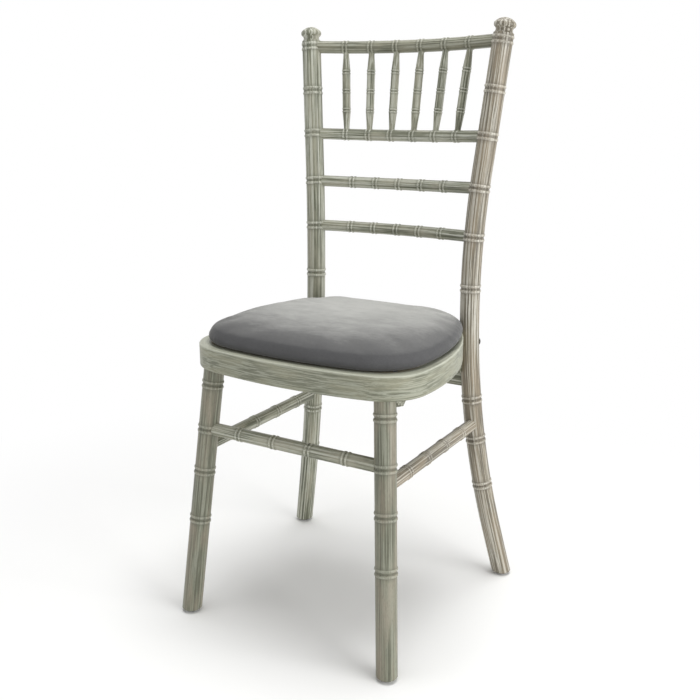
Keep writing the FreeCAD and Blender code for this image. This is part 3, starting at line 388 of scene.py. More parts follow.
@dataclass(frozen=True)
class LimedBeech:
    """Limewashed beech: a thin grey-green stain with white lime wiped into the open grain.

    The eye sees pale stripes along each piece, darker stain between them, a painted highlight on the
    bead crests and painted shade in the grooves, all under a satin lacquer. The seat ring's upper edge
    has a painted highlight too. Real pores are about 0.1 mm wide, so the hair lines and pores are
    drawn five to nine times as coarse, to show.
    """

    name: str
    stain: str = "#8D8F7C"
    shade: str = "#5D5F4D"
    lime: str = "#D3D4C8"
    patch: str = "#A29F8D"
    stripe_mm: float = 2.6
    stripe_length_mm: float = 240.0
    lime_amount: float = 0.75
    hair_mm: tuple[float, ...] = (0.9, 0.9, 40.0)
    pore_mm: tuple[float, ...] = (0.5, 0.5, 7.0)
    patch_mm: float = 16.0
    patch_beads: float = 9.0
    stripe_share: float = 0.7
    relief_mm: float = 0.25
    node_reach: float = 1.6

    def material(self, piece: str, grain: Grain, beads: BeadSize, seed: float) -> bpy.types.Material:
        """Make the finish for one piece.

        Args:
            piece: Name of the piece.
            grain: How the grain runs.
            beads: Size of the piece's bamboo beads.
            seed: Shift of the pattern, so that no two pieces match.

        Returns:
            The material.
        """
        material, tree, shader = new_material(f"{self.name} {piece}")
        add = partial(add_node, tree)
        local, along = grain.coordinates(tree)
        stripe_size = (self.stripe_mm, self.stripe_mm, self.stripe_length_mm)
        patch_size = (self.patch_mm, self.patch_mm, beads.value * self.patch_beads)
        stripes = pattern(tree, local, stripe_size, 1.5, seed)
        hair = pattern(tree, local, self.hair_mm, 3.0, seed + 3.1)
        cloud = pattern(tree, local, patch_size, 2.0, seed + 7.7)
        fine = add("Math", (hair, 1 - self.stripe_share), operation="MULTIPLY")
        tone = add("Math", (stripes, self.stripe_share, fine), operation="MULTIPLY_ADD").outputs[0]
        # Dark stain lines, mellow patches, and places where the stain soaked in
        colour = linear(self.stain)
        for driver, stops, over in ((tone, ((0.41, 1.0), (0.5, 0.0)), self.shade),
                                    (cloud, ((0.42, 0.0), (0.68, 0.75)), self.patch),
                                    (cloud, ((0.3, 0.55), (0.48, 0.0)), self.shade)):
            amount = add("ValToRGB", (driver,), stops)
            colour = add("Mix", {FACTOR: amount, UNDER: colour, OVER: linear(over)},
                         data_type="RGBA").outputs[MIXED]
        # Lime in the open grain, rubbed off here and there
        limed = add("ValToRGB", (tone,), ((0.505, 0.0), (0.555, 1.0)))
        worn = add("ValToRGB", (cloud,), ((0.3, 1.0), (0.6, 0.55)))
        left = add("Math", (limed, worn), operation="MULTIPLY")
        amount = add("Math", (left, self.lime_amount), operation="MULTIPLY")
        colour = add("Mix", {FACTOR: amount, UNDER: colour, OVER: linear(self.lime)},
                     data_type="RGBA").outputs[MIXED]
        # Painted highlight along the seat ring's upper edge
        if isinstance(grain, RingGrain):
            colour = self.rubbed(tree, grain.painted_highlight_level, hair, colour)
        # Painted highlight on the bead crests and painted shade in the grooves
        if grain.bands:
            colour = self.painted_bead_light(tree, along, grain.bands, beads, hair, colour)
        pores = add("ValToRGB", (pattern(tree, local, self.pore_mm, 1.0, seed + 1.3),),
                    ((0.3, 0.72), (0.42, 1.0)))
        colour = add("Mix", {FACTOR: 1.0, UNDER: colour, OVER: pores}, data_type="RGBA",
                     blend_type="MULTIPLY").outputs[MIXED]
        gloss = add("ValToRGB", (tone,), ((0.4, 0.36), (0.62, 0.52)))
        bump = add("Bump", {"Height": tone, "Distance": self.relief_mm * MM, "Strength": 0.6})
        plug(tree, shader, {"Base Color": colour, "Roughness": gloss, "Normal": bump})
        return material

    def rubbed(self, tree: bpy.types.NodeTree, level: float, broken: bpy.types.NodeSocket,
               colour: bpy.types.NodeSocket) -> bpy.types.NodeSocket:
        """Painted highlight along an upper edge, in the lime colour.

        Args:
            tree: Node tree.
            level: Height of the edge.
            broken: Noise that breaks the line up.
            colour: Colour of the plain wood.

        Returns:
            The colour with the pale edge.
        """
        add = partial(add_node, tree)
        height = add("SeparateXYZ", (add("TexCoord").outputs["Object"],)).outputs[2]
        below = add("Math", (level, height), operation="SUBTRACT")
        below_in_cm = add("Math", (below, 100.0), operation="MULTIPLY")
        wavy = add("Math", (broken, 0.12, below_in_cm), operation="MULTIPLY_ADD")
        amount = add("ValToRGB", (wavy,), ((0.04, 0.25), (0.1, 0.8), (0.22, 0.5), (0.36, 0.0)))
        return add("Mix", {FACTOR: amount, UNDER: colour, OVER: linear(self.lime)},
                   data_type="RGBA").outputs[MIXED]

    def painted_bead_light(self, tree: bpy.types.NodeTree, along: bpy.types.NodeSocket, bands: tuple,
               beads: BeadSize, broken: bpy.types.NodeSocket,
               colour: bpy.types.NodeSocket) -> bpy.types.NodeSocket:
        """Painted highlight on the bead crests and painted shade in the grooves beside them.

        Args:
            tree: Node tree.
            along: Distance along the piece, in metres.
            bands: Places of the bamboo nodes, in metres.
            beads: Size of the beads.
            broken: Noise that breaks the lines up.
            colour: Colour of the plain wood.

        Returns:
            The colour with the bamboo nodes.
        """
        add = partial(add_node, tree)
        nearest = None
        for band in bands:
            offset = add("Math", (along, band), operation="SUBTRACT")
            gap = add("Math", (offset,), operation="ABSOLUTE")
            nearest = gap if nearest is None else add("Math", (nearest, gap), operation="MINIMUM")
        share = add("Math", (nearest, beads.value * MM * self.node_reach), operation="DIVIDE")
        painted_crest_highlight = add("ValToRGB", (share,), ((0.0, 0.0), (0.14, 0.0), (0.24, 0.8), (0.34, 1.0),
                                           (0.42, 0.7), (0.49, 0.0), (1.0, 0.0)))
        painted_groove_shade = add("ValToRGB", (share,), ((0.0, 1.0), (0.09, 0.9), (0.17, 0.0), (0.44, 0.0),
                                            (0.5, 0.95), (0.58, 0.45), (0.9, 0.0)))
        painted_highlight_gaps = add("ValToRGB", (broken,), ((0.34, 0.35), (0.55, 1.0)))
        painted_crest_highlight = add("Math", (painted_crest_highlight, painted_highlight_gaps), operation="MULTIPLY")
        # Painted highlight in the lime colour, painted shade in the shade colour
        for mark, strength, over in ((painted_crest_highlight, 0.42, self.lime), (painted_groove_shade, 0.6, self.shade)):
            amount = add("Math", (mark, strength), operation="MULTIPLY")
            colour = add("Mix", {FACTOR: amount, UNDER: colour, OVER: linear(over)},
                         data_type="RGBA").outputs[MIXED]
        return colour


@dataclass(frozen=True)
class Velvet:
    """Short-pile cotton velvet: deep grey, with a painted silvery highlight on its upper faces.

    The eye sees dark sides and a pale crown, the difference painted as shade and highlight for
    the light from above, small crushed marks where the nap turns, and a soft bright rim at a
    grazing angle. A real tuft is about 0.3 mm wide, so the tufts are drawn three times as coarse,
    to show.
    """

    name: str = "cotton velvet, brushed grey"
    # Painted light: pile colour on the shaded sides, the pale colour below on the highlighted crown
    pile: str = "#5A5A5B"
    painted_highlight_centre: Vector = Vector((-0.02, 0.03, 0.478))
    brushed: str = "#BCBCB8"
    rim: str = "#DEDEDA"
    mark_mm: tuple[float, ...] = (55.0, 30.0, 55.0)
    stroke_mm: tuple[float, ...] = (11.0, 5.0, 11.0)
    tuft_mm: tuple[float, ...] = (0.9, 0.9, 0.9)
    relief_mm: float = 0.7

    def material(self) -> bpy.types.Material:
        """Make the velvet, with hand marks where the pile was brushed the other way."""
        material, tree, shader = new_material(self.name)
        add = partial(add_node, tree)
        coordinates = add("TexCoord").outputs
        where = coordinates["Object"]
        upward = add("SeparateXYZ", (coordinates["Normal"],)).outputs[2]
        backward = add("SeparateXYZ", (where,)).outputs[1]
        marks = pattern(tree, where, self.mark_mm, 2.0, 0.4)
        strokes = pattern(tree, where, self.stroke_mm, 3.0, 1.9)
        tufts = pattern(tree, where, self.tuft_mm, 2.0, 0.7)
        light = add("Math", (strokes, 0.4), operation="MULTIPLY")
        lay = add("Math", (marks, 0.6, light), operation="MULTIPLY_ADD")
        # Painted light: faces that look up, the rear and a spot near the middle are painted paler and
        # the front darker, as highlight and shade; hand marks where the nap turned are mixed in
        either_way = add("Math", (lay, 0.5), operation="SUBTRACT")
        marks_and_painted_top = add("Math", (either_way, 0.28, upward), operation="MULTIPLY_ADD")
        away = add("VectorMath", (where, self.painted_highlight_centre), operation="DISTANCE").outputs["Value"]
        squared = add("Math", (away, away), operation="MULTIPLY")
        painted_spot_falloff = add("Math", (squared, -3.0), operation="MULTIPLY")
        painted_front_shade_and_spot = add("Math", (backward, 0.6, painted_spot_falloff), operation="MULTIPLY_ADD")
        nap = add("Math", (marks_and_painted_top, painted_front_shade_and_spot), operation="ADD")
        level = add("Math", (nap, 0.8), operation="MULTIPLY")
        # Painted light: share of the pale highlight colour over the shaded pile colour
        flat = add("ValToRGB", (level,), ((0.4, 0.0), (0.62, 0.16), (0.7, 0.42), (0.83, 1.0)))
        colour = add("Mix", {FACTOR: flat, UNDER: linear(self.pile), OVER: linear(self.brushed)},
                     data_type="RGBA").outputs[MIXED]
        between = add("ValToRGB", (tufts,), ((0.3, 0.72), (0.7, 1.0)))
        colour = add("Mix", {FACTOR: 1.0, UNDER: colour, OVER: between}, data_type="RGBA",
                     blend_type="MULTIPLY").outputs[MIXED]
        height = add("Math", (tufts, 0.4, lay), operation="MULTIPLY_ADD")
        bump = add("Bump", {"Height": height, "Distance": self.relief_mm * MM, "Strength": 0.7})
        plug(tree, shader, {"Base Color": colour, "Roughness": 0.95, "Specular IOR Level": 0.15,
                            "Sheen Weight": 0.55, "Sheen Roughness": 0.3,
                            "Sheen Tint": linear(self.rim), "Normal": bump})
        return material


@dataclass(frozen=True)
class Plywood:
    """Birch plywood with one coat of the grey stain: long soft figure under a dull film."""

    name: str = "birch plywood, stained grey"
    light: str = "#A39C88"
    dark: str = "#7C7461"
    figure_mm: tuple[float, ...] = (9.0, 160.0, 1.4)
    fibre_mm: tuple[float, ...] = (0.8, 26.0, 0.8)

    def material(self) -> bpy.types.Material:
        """Make the plywood, its face grain running from front to back."""
        material, tree, shader = new_material(self.name)
        add = partial(add_node, tree)
        where = add("TexCoord").outputs["Object"]
        figure = pattern(tree, where, self.figure_mm, 4.0, 0.2)
        fibres = pattern(tree, where, self.fibre_mm, 2.0, 1.2)
        fine = add("Math", (fibres, 0.35), operation="MULTIPLY")
        mixed = add("Math", (figure, 0.65, fine), operation="MULTIPLY_ADD")
        colour = add("ValToRGB", (mixed,), ((0.35, self.dark), (0.62, self.light)))
        bump = add("Bump", {"Height": fibres, "Distance": 0.15 * MM, "Strength": 0.5})
        plug(tree, shader, {"Base Color": colour, "Roughness": 0.7, "Normal": bump})
        return material


@dataclass(frozen=True)
class Metal:
    """Plated or blackened steel, faintly mottled by handling."""

    name: str
    colour: str
    worn: str
    roughness: float
    spot_mm: float = 2.2

    def material(self) -> bpy.types.Material:
        """Make the metal, its worn spots duller."""
        material, tree, shader = new_material(self.name)
        add = partial(add_node, tree)
        where = add("TexCoord").outputs["Object"]
        spots = pattern(tree, where, (self.spot_mm,) * 3, 3.0, 0.9)
        colour = add("ValToRGB", (spots,), ((0.38, self.colour), (0.68, self.worn)))
        gloss = add("ValToRGB", (spots,), ((0.3, self.roughness), (0.7, self.roughness + 0.15)))
        plug(tree, shader, {"Base Color": colour, "Metallic": 1.0, "Roughness": gloss})
        return material


@dataclass(frozen=True)
class Cloth:
    """Plain cloth: non-woven lining or hook-and-loop tape, a dull fuzz of fibres to the eye.

    Real fibres are finer than 0.1 mm, so they are drawn in tufts that are coarse enough to show.
    """

    name: str
    colour: str
    deep: str
    fibre_mm: float

    def material(self) -> bpy.types.Material:
        """Make the cloth."""
        material, tree, shader = new_material(self.name)
        add = partial(add_node, tree)
        where = add("TexCoord").outputs["Object"]
        fibres = pattern(tree, where, (self.fibre_mm,) * 3, 3.0, 0.3)
        colour = add("ValToRGB", (fibres,), ((0.35, self.deep), (0.65, self.colour)))
        bump = add("Bump", {"Height": fibres, "Distance": 0.3 * MM, "Strength": 0.8})
        plug(tree, shader, {"Base Color": colour, "Roughness": 0.95, "Normal": bump})
        return material


@dataclass(frozen=True)
class Nylon:
    """Moulded nylon glide: near-black and satin, greyed in scuffs by the floor."""

    name: str = "moulded nylon, scuffed"
    colour: str = "#2B2A28"
    scuffed: str = "#55524C"
    scuff_mm: float = 1.1

    def material(self) -> bpy.types.Material:
        """Make the nylon."""
        material, tree, shader = new_material(self.name)
        add = partial(add_node, tree)
        where = add("TexCoord").outputs["Object"]
        scuffs = pattern(tree, where, (self.scuff_mm,) * 3, 4.0, 0.6)
        colour = add("ValToRGB", (scuffs,), ((0.45, self.colour), (0.75, self.scuffed)))
        bump = add("Bump", {"Height": scuffs, "Distance": 0.1 * MM, "Strength": 0.6})
        plug(tree, shader, {"Base Color": colour, "Roughness": 0.55, "Normal": bump})
        return material


def dress(frame: dict, node: str, material: bpy.types.Material) -> None:
    """Put a material on a CAD piece.

    Args:
        frame: The loaded CAD frame.
        node: Name of the piece.
        material: Its finish.
    """
    piece = frame["nodes"][node]
    piece.data.materials.clear()
    piece.data.materials.append(material)
    log.info("dressed %s in %s", node, material.name)


# The chair's sub-assemblies


class Tone(Enum):
    """Tones of the limewash."""

    COOL = LimedBeech("beech, limewashed grey")
    WARM = LimedBeech("beech, limewashed warm grey", "#87806F", "#5F594C", "#D9D6CB", "#938671",
                      lime_amount=0.8)
    DEEP = LimedBeech("beech, limewashed over a deeper grey", "#7B7C69", "#4F503F", "#BDBEB0",
                      "#8A8874")
    RUBBED = LimedBeech("beech, limewashed and rubbed back", "#797B69", "#5F6050", "#ADAEA0",
                        "#8E8473", stripe_length_mm=150.0, lime_amount=0.42)
    BENT = LimedBeech("beech, steam-bent and limewashed", "#868876", "#6D6F5D", "#B9BBAC", "#96957F",
                      stripe_mm=2.0, stripe_length_mm=160.0, lime_amount=0.5)


@dataclass
class Wood:
    """The limewash with a running seed, so that every piece has its own figure."""

    seed: float = 0.0
    seed_step: float = 1.37

    def dress(self, frame: dict, node: str, grain: Grain, beads: BeadSize = BeadSize.MEDIUM,
              tone: Tone = Tone.COOL) -> None:
        """Give a wooden CAD piece its limewash.

        Args:
            frame: The loaded CAD frame.
            node: Name of the piece.
            grain: How its grain runs.
            beads: Size of its bamboo beads.
            tone: Tone of its limewash.
        """
        self.seed += self.seed_step
        finish = tone.value
        dress(frame, node, finish.material(node.replace("_", " "), grain, beads, self.seed))


@dataclass
class Back:
    """Back posts, the four bowed rails and the spindles."""

    foot: Vector = Vector((0.208, 0.1795, 0))
    bend: Vector = Vector((0.1285, 0.1195, 0.388))
    top: Vector = Vector((0.175, 0.1725, 0.92))
    bend_radius: float = 1.6
    top_height: float = 0.888
    spindle_rail_height: float = 0.746
    upper_ladder_height: float = 0.667
    lower_ladder_height: float = 0.591
    post_bands: tuple[float, ...] = (0.888, 0.816, 0.746, 0.667, 0.591, 0.509, 0.324, 0.254, 0.172)
    rail_bow: float = 0.022
    top_bow: float = 0.028
    spindle_count: int = 6
    spindle_ends: tuple[float, float] = (0.0453, 0.0408)
    spindle_shares: tuple[float, ...] = (0.27, 0.5, 0.73)
    spindle_head_sink: float = 4 * MM
    spindle_foot_sink: float = 3.25 * MM
    ladder_nodes: int = 5
    ladder_pitch: float = 0.0428

    def post(self) -> BentGrain:
        """Centre line of the back post on the right."""
        return BentGrain(self.foot, self.bend, self.top, self.bend_radius, self.post_bands)

    def rail(self, height: float, bow: float, pitch: float, count: int) -> BowedGrain:
        """Arc of a rail.

        Args:
            height: Height of its ends.
            bow: How far its middle stands back.
            pitch: Distance between its bamboo nodes.
            count: How many nodes it has.

        Returns:
            The rail's grain.
        """
        post = self.post()
        end = post.centre(height)
        step = post.centre(height + MM) - post.centre(height - MM)
        rake = math.atan2(step.y, step.z)
        radius = (end.x**2 + bow**2) / (2 * bow)
        out = Vector((0, math.cos(rake), -math.sin(rake)))
        offsets = [(number - (count - 1) / 2) * pitch for number in range(count)]
        bands = tuple(radius * math.asin(offset / radius) for offset in offsets)
        return BowedGrain(Vector((0, end.y, end.z)) + out * (bow - radius), rake, radius, bands)

    def spindle(self, number: int, top: BowedGrain, low: BowedGrain) -> StraightGrain:
        """Grain of a spindle.

        Args:
            number: Which one, counted from 0.
            top: Grain of the rail above.
            low: Grain of the rail below.

        Returns:
            The spindle's grain, from just above the lower rail's middle.
        """
        place = number - (self.spindle_count - 1) / 2
        head = top.point(place * self.spindle_ends[0])
        foot = low.point(place * self.spindle_ends[1])
        along = (head - foot).normalized()
        start = foot + along * self.spindle_foot_sink
        end = head - along * self.spindle_head_sink
        bands = tuple((end - start).length * share for share in self.spindle_shares)
        return StraightGrain(start, end, bands)

    def build(self, frame: dict, wood: Wood) -> None:
        """Dress the posts, rails and spindles.

        Args:
            frame: The loaded CAD frame.
            wood: The limewash.
        """
        post = self.post()
        wood.dress(frame, "back_post_right", post, BeadSize.LARGE, Tone.WARM)
        wood.dress(frame, "back_post_left", post.mirrored(), BeadSize.LARGE)
        top = self.rail(self.top_height, self.top_bow, self.spindle_ends[0], self.spindle_count)
        low = self.rail(self.spindle_rail_height, self.rail_bow, self.spindle_ends[1],
                        self.spindle_count)
        wood.dress(frame, "top_rail", top, tone=Tone.DEEP)
        wood.dress(frame, "spindle_rail", low)
        for node, height in (("upper_ladder_rail", self.upper_ladder_height),
                             ("lower_ladder_rail", self.lower_ladder_height)):
            wood.dress(frame, node,
                       self.rail(height, self.rail_bow, self.ladder_pitch, self.ladder_nodes))
        for number in range(self.spindle_count):
            grain = self.spindle(number, top, low)
            wood.dress(frame, f"spindle_{number + 1}", grain, BeadSize.SMALL)


@dataclass
class Base:
    """Front legs, stretchers and the glides under the feet."""

    foot: Vector = Vector((0.1805, -0.1925, 0))
    top: Vector = Vector((0.149, -0.1485, 0.405))
    leg_bands: tuple[float, ...] = (0.379, 0.308, 0.24, 0.16)
    front_height: float = 0.308
    side_height: float = 0.28
    shares: tuple[float, ...] = (0.2, 0.4, 0.6, 0.8)

    def leg_at(self, height: float) -> Vector:
        """Centre of the front leg at a height."""
        return self.foot.lerp(self.top, height / self.top.z)

    def stretcher(self, start: Vector, end: Vector) -> StraightGrain:
        """Grain of a stretcher between two points.

        Args:
            start: Centre of its first end.
            end: Centre of its other end.

        Returns:
            The stretcher's grain, with its bamboo nodes.
        """
        length = (end - start).length
        return StraightGrain(start, end, tuple(length * share for share in self.shares))

    def build(self, frame: dict, wood: Wood, back: Back) -> None:
        """Dress the legs, stretchers and glides.

        Args:
            frame: The loaded CAD frame.
            wood: The limewash.
            back: The back, whose posts carry the side stretchers.
        """
        slant = 1 / (self.top - self.foot).normalized().z
        leg = StraightGrain(self.foot, self.top, tuple(band * slant for band in self.leg_bands))
        wood.dress(frame, "front_leg_right", leg, BeadSize.LARGE, Tone.RUBBED)
        wood.dress(frame, "front_leg_left", leg.mirrored(), BeadSize.LARGE, Tone.RUBBED)
        right = self.leg_at(self.front_height)
        wood.dress(frame, "front_stretcher", self.stretcher(flipped(right), right))
        rear = back.post().centre(self.side_height)
        side = self.stretcher(self.leg_at(self.side_height), rear)
        wood.dress(frame, "side_stretcher_right", side, tone=Tone.WARM)
        wood.dress(frame, "side_stretcher_left", side.mirrored())
        nylon = Nylon().material()
        for glide in ("front_glide_right", "front_glide_left", "rear_glide_right", "rear_glide_left"):
            dress(frame, glide, nylon)


@dataclass
class SeatFrame:
    """Bentwood ring, its panel, the rail and blocks under it, and the fasteners."""

    rail_left: Vector = Vector((-0.15, 0.14, 0.375))
    rail_right: Vector = Vector((0.15, 0.14, 0.375))
    steel: Metal = Metal("zinc-plated steel, dulled", "#B9BBBC", "#8E8F8D", 0.35)
    black: Metal = Metal("black oxide steel", "#35322F", "#5B564F", 0.4)
    tape: Cloth = Cloth("hook-and-loop tape, off-white", "#D8D4CA", "#A8A294", 0.8)

    def build(self, frame: dict, wood: Wood) -> None:
        """Dress the seat ring and what is fixed to it.

        Args:
            frame: The loaded CAD frame.
            wood: The limewash.
        """
        wood.dress(frame, "seat_ring", RingGrain(), tone=Tone.BENT)
        across = StraightGrain(self.rail_left, self.rail_right)
        wood.dress(frame, "rear_seat_rail", across)
        for block in ("front_glue_block_right", "front_glue_block_left", "rear_glue_block_right",
                      "rear_glue_block_left"):
            wood.dress(frame, block, across, tone=Tone.DEEP)
        dress(frame, "seat_panel", Plywood().material())
        steel = self.steel.material()
        for fastener in ("panel_screws", "rail_screws", "block_screws", "glide_nails"):
            dress(frame, fastener, steel)
        dress(frame, "seat_ring_bolts", self.black.material())
        dress(frame, "panel_loop_strips", self.tape.material())


@dataclass
class SeatPad:
    """Velvet seat pad: a foam crown on a plywood board, closed below with lining.

    Its outline is four tangent arcs to a side, and each row is an outline's inset and height.
    """

    width: float = 0.378
    front: float = 0.1785
    rear: float = 0.1495
    front_radius: float = 0.736
    corner_radius: float = 0.084
    side_radius: float = 0.384
    rear_radius: float = 0.084
    corner_heading: float = math.radians(84.4)
    bottom: float = 0.4414
    lining_level: float = 0.4448
    hem: float = 0.024
    shoulder: float = 0.466
    crown: float = 0.4827
    voxel: float = 0.005
    puff_cap: float = 0.0045
    held_height: float = 0.009
    pressure: float = 4.0
    last_frame: int = 20
    even_passes: int = 3
    top_passes: int = 9
    mirror_merge: float = 0.05 * MM
    weld: float = 0.01 * MM
    arc_steps: tuple[int, ...] = (8, 10, 14, 12)
    rows: tuple[tuple[float, float], ...] = (
        (0.010, 0.4414), (0.005, 0.4435), (0.0015, 0.448), (0.0, 0.454), (0.001, 0.4597),
        (0.004, 0.4652), (0.0095, 0.4695), (0.0185, 0.4732), (0.0325, 0.4758), (0.055, 0.4777),
        (0.085, 0.4788), (0.115, 0.4793))

    def arcs(self) -> list[tuple[float, float, float]]:
        """Radius, start and end heading of each arc from the front middle to the rear middle.

        Returns:
            The four arcs of the right half, tangent to each other.
        """
        side_share = self.side_radius * (1 - math.sin(self.corner_heading))
        reach = self.width / 2 - self.corner_radius * math.sin(self.corner_heading) - side_share
        front_turn = math.asin(reach / (self.front_radius - self.corner_radius))
        sweep = (self.front + self.rear - self.front_radius * (1 - math.cos(front_turn))
                 - self.corner_radius * (math.cos(front_turn) - math.cos(self.corner_heading))
                 - self.side_radius * math.cos(self.corner_heading) - self.rear_radius)
        side_end = math.acos(sweep / (self.rear_radius - self.side_radius))
        return [(self.front_radius, 0.0, front_turn),
                (self.corner_radius, front_turn, self.corner_heading),
                (self.side_radius, self.corner_heading, side_end),
                (self.rear_radius, side_end, math.pi)]

    def outline(self, form: bmesh.types.BMesh, inset: float, level: float) -> list[bmesh.types.BMEdge]:
        """Closed outline, swept arc by arc and mirrored.

        Args:
            form: Mesh that gets the outline.
            inset: How far inside the pad's widest line it lies.
            level: Its height.

        Returns:
            The outline's edges.
        """
        before = set(form.edges)
        corner = bmesh.ops.create_vert(form, co=(0.0, inset - self.front, level))["vert"][0]
        for (radius, start, end), steps in zip(self.arcs(), self.arc_steps):
            centre = corner.co + Vector((-math.sin(start), math.cos(start), 0)) * (radius - inset)
            swept = bmesh.ops.spin(form, geom=[corner], cent=centre, axis=(0, 0, 1), dvec=(0, 0, 0),
                                   angle=end - start, steps=steps, use_merge=False, use_duplicate=False)
            corner = next(last for last in swept["geom_last"] if isinstance(last, bmesh.types.BMVert))
        corner = bmesh.ops.extrude_vert_indiv(form, verts=[corner])["verts"][0]
        corner.co.x = 0.0
        edges = [edge for edge in form.edges if edge not in before]
        verts = list({vert for edge in edges for vert in edge.verts})
        bmesh.ops.mirror(form, geom=edges + verts, matrix=Matrix.Identity(4),
                         merge_dist=self.mirror_merge, axis="X")
        return [edge for edge in form.edges if edge not in before]

    def form(self) -> bpy.types.Object:
        """Build the pad a little small: bridged outlines with a closed top and bottom.

        Returns:
            The pad before it is puffed up.
        """
        form = bmesh.new()
        rings = [self.outline(form, inset, level) for inset, level in self.rows]
        for low, high in zip(rings, rings[1:]):
            bmesh.ops.bridge_loops(form, edges=low + high)
        bmesh.ops.holes_fill(form, edges=rings[0] + rings[-1], sides=0)
        bmesh.ops.remove_doubles(form, verts=form.verts, dist=self.weld)
        bmesh.ops.recalc_face_normals(form, faces=form.faces)
        mesh = bpy.data.meshes.new("seat_pad_velvet")
        form.to_mesh(mesh)
        form.free()
        pad = bpy.data.objects.new("seat_pad_velvet", mesh)
        bpy.context.collection.objects.link(pad)
        return pad

    def remesh(self, pad: bpy.types.Object) -> None:
        """Give the pad an even cloth mesh.

        Args:
            pad: The pad.
        """
        modifier = pad.modifiers.new("even mesh", "REMESH")
        modifier.mode = "VOXEL"
        modifier.voxel_size = self.voxel
        apply_modifiers(pad)

    def puff(self, pad: bpy.types.Object) -> None:
        """Blow the cover up with the cloth solver, its rim held to the board.

        Args:
            pad: The pad.
        """
        start = [vert.co.copy() for vert in pad.data.vertices]
        held = pad.vertex_groups.new(name="held to the board")
        for vert in pad.data.vertices:
            if vert.co.z < self.bottom + self.held_height:
                held.add([vert.index], 1.0, "REPLACE")
        cloth = pad.modifiers.new("velvet", "CLOTH")
        cloth.settings.use_pressure = True
        cloth.settings.uniform_pressure_force = self.pressure
        cloth.settings.vertex_group_mass = held.name
        cloth.settings.effector_weights.gravity = 0.0
        scene = bpy.context.scene
        for frame in range(1, self.last_frame + 1):
            scene.frame_set(frame)
        apply_modifiers(pad)
        scene.frame_set(1)
        for vert, first in zip(pad.data.vertices, start):
            move = vert.co - first
            if move.length > self.puff_cap:
                vert.co = first + move * (self.puff_cap / move.length)

    def settle(self, pad: bpy.types.Object) -> None:
        """Smooth the cover, keep it under its crown and recess the lined middle inside the hem.

        Args:
            pad: The pad.
        """
        form = bmesh.new()
        form.from_mesh(pad.data)
        every_way = {"factor": 0.5, "use_axis_x": True, "use_axis_y": True, "use_axis_z": True}
        for _ in range(self.even_passes):
            bmesh.ops.smooth_vert(form, verts=form.verts, **every_way)
        for _ in range(self.top_passes):
            top = [vert for vert in form.verts if vert.co.z > self.shoulder]
            bmesh.ops.smooth_vert(form, verts=top, **every_way)
        room = self.crown - self.shoulder
        for vert in form.verts:
            if vert.co.z > self.shoulder:
                vert.co.z = self.shoulder + room * math.tanh((vert.co.z - self.shoulder) / room)
        form.to_mesh(pad.data)
        form.free()
        rim = bmesh.new()
        self.outline(rim, 0.0, 0.0)
        line = KDTree(len(rim.verts))
        for number, vert in enumerate(rim.verts):
            line.insert((vert.co.x, vert.co.y, 0.0), number)
        line.balance()
        for vert in pad.data.vertices:
            vert.co.z = max(vert.co.z, self.bottom)
            reach = line.find((vert.co.x, vert.co.y, 0.0))[2]
            if vert.co.z < self.bottom + MM and reach > self.hem:
                vert.co.z = self.lining_level
        rim.free()

    def build(self, quick: bool) -> bpy.types.Object:
        """Make, puff and dress the pad.

        Args:
            quick: Whether to skip the cloth solver.

        Returns:
            The finished pad.
        """
        pad = self.form()
        self.remesh(pad)
        if not quick:
            self.puff(pad)
        self.settle(pad)
        smooth = pad.modifiers.new("smooth", "SUBSURF")
        smooth.levels = 1
        smooth.render_levels = 1
        apply_modifiers(pad)
        pad.data.polygons.foreach_set("use_smooth", [True] * len(pad.data.polygons))
        pad.data.materials.append(Velvet().material())
        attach(pad, "seat_pad")
        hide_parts("pad_cover", "pad_foam")
        log.info("upholstered the pad, %d faces", len(pad.data.polygons))
        return pad

    def dress_underside(self, frame: dict) -> None:
        """Dress the board, lining and tape under the pad.

        Args:
            frame: The loaded CAD frame.
        """
        dress(frame, "pad_board", Plywood("birch plywood, pad board").material())
        lining = Cloth("black non-woven lining", "#2A2A2B", "#151516", 0.7)
        dress(frame, "pad_underlining", lining.material())
        hooks = Cloth("hook tape, off-white", "#CFCBC0", "#9C9688", 0.6)
        dress(frame, "pad_hook_strips", hooks.material())


def apply_modifiers(piece: bpy.types.Object) -> None:
    """Turn a piece's modifiers into its mesh.

    Args:
        piece: The piece.
    """
    depsgraph = bpy.context.evaluated_depsgraph_get()
    baked = bpy.data.meshes.new_from_object(piece.evaluated_get(depsgraph))
    old = piece.data
    name = old.name
    piece.modifiers.clear()
    piece.data = baked
    bpy.data.meshes.remove(old)
    baked.name = name


# Studio


@dataclass(frozen=True)
class Lamp:
    """Soft square lamp: its place, the height on the chair's axis that it faces, side and power."""

    name: str
    place: tuple[float, float, float]
    aim_height: float
    size: float
    watts: float

    def hang(self) -> None:
        """Hang the lamp."""
        data = bpy.data.lights.new(self.name, "AREA")
        data.size = self.size
        data.energy = self.watts
        lamp = bpy.data.objects.new(self.name, data)
        bpy.context.collection.objects.link(lamp)
        away = Vector(self.place) - Vector((0, 0, self.aim_height))
        turn = away.to_track_quat("Z", "Y").to_matrix().to_4x4()
        lamp.matrix_world = Matrix.Translation(self.place) @ turn


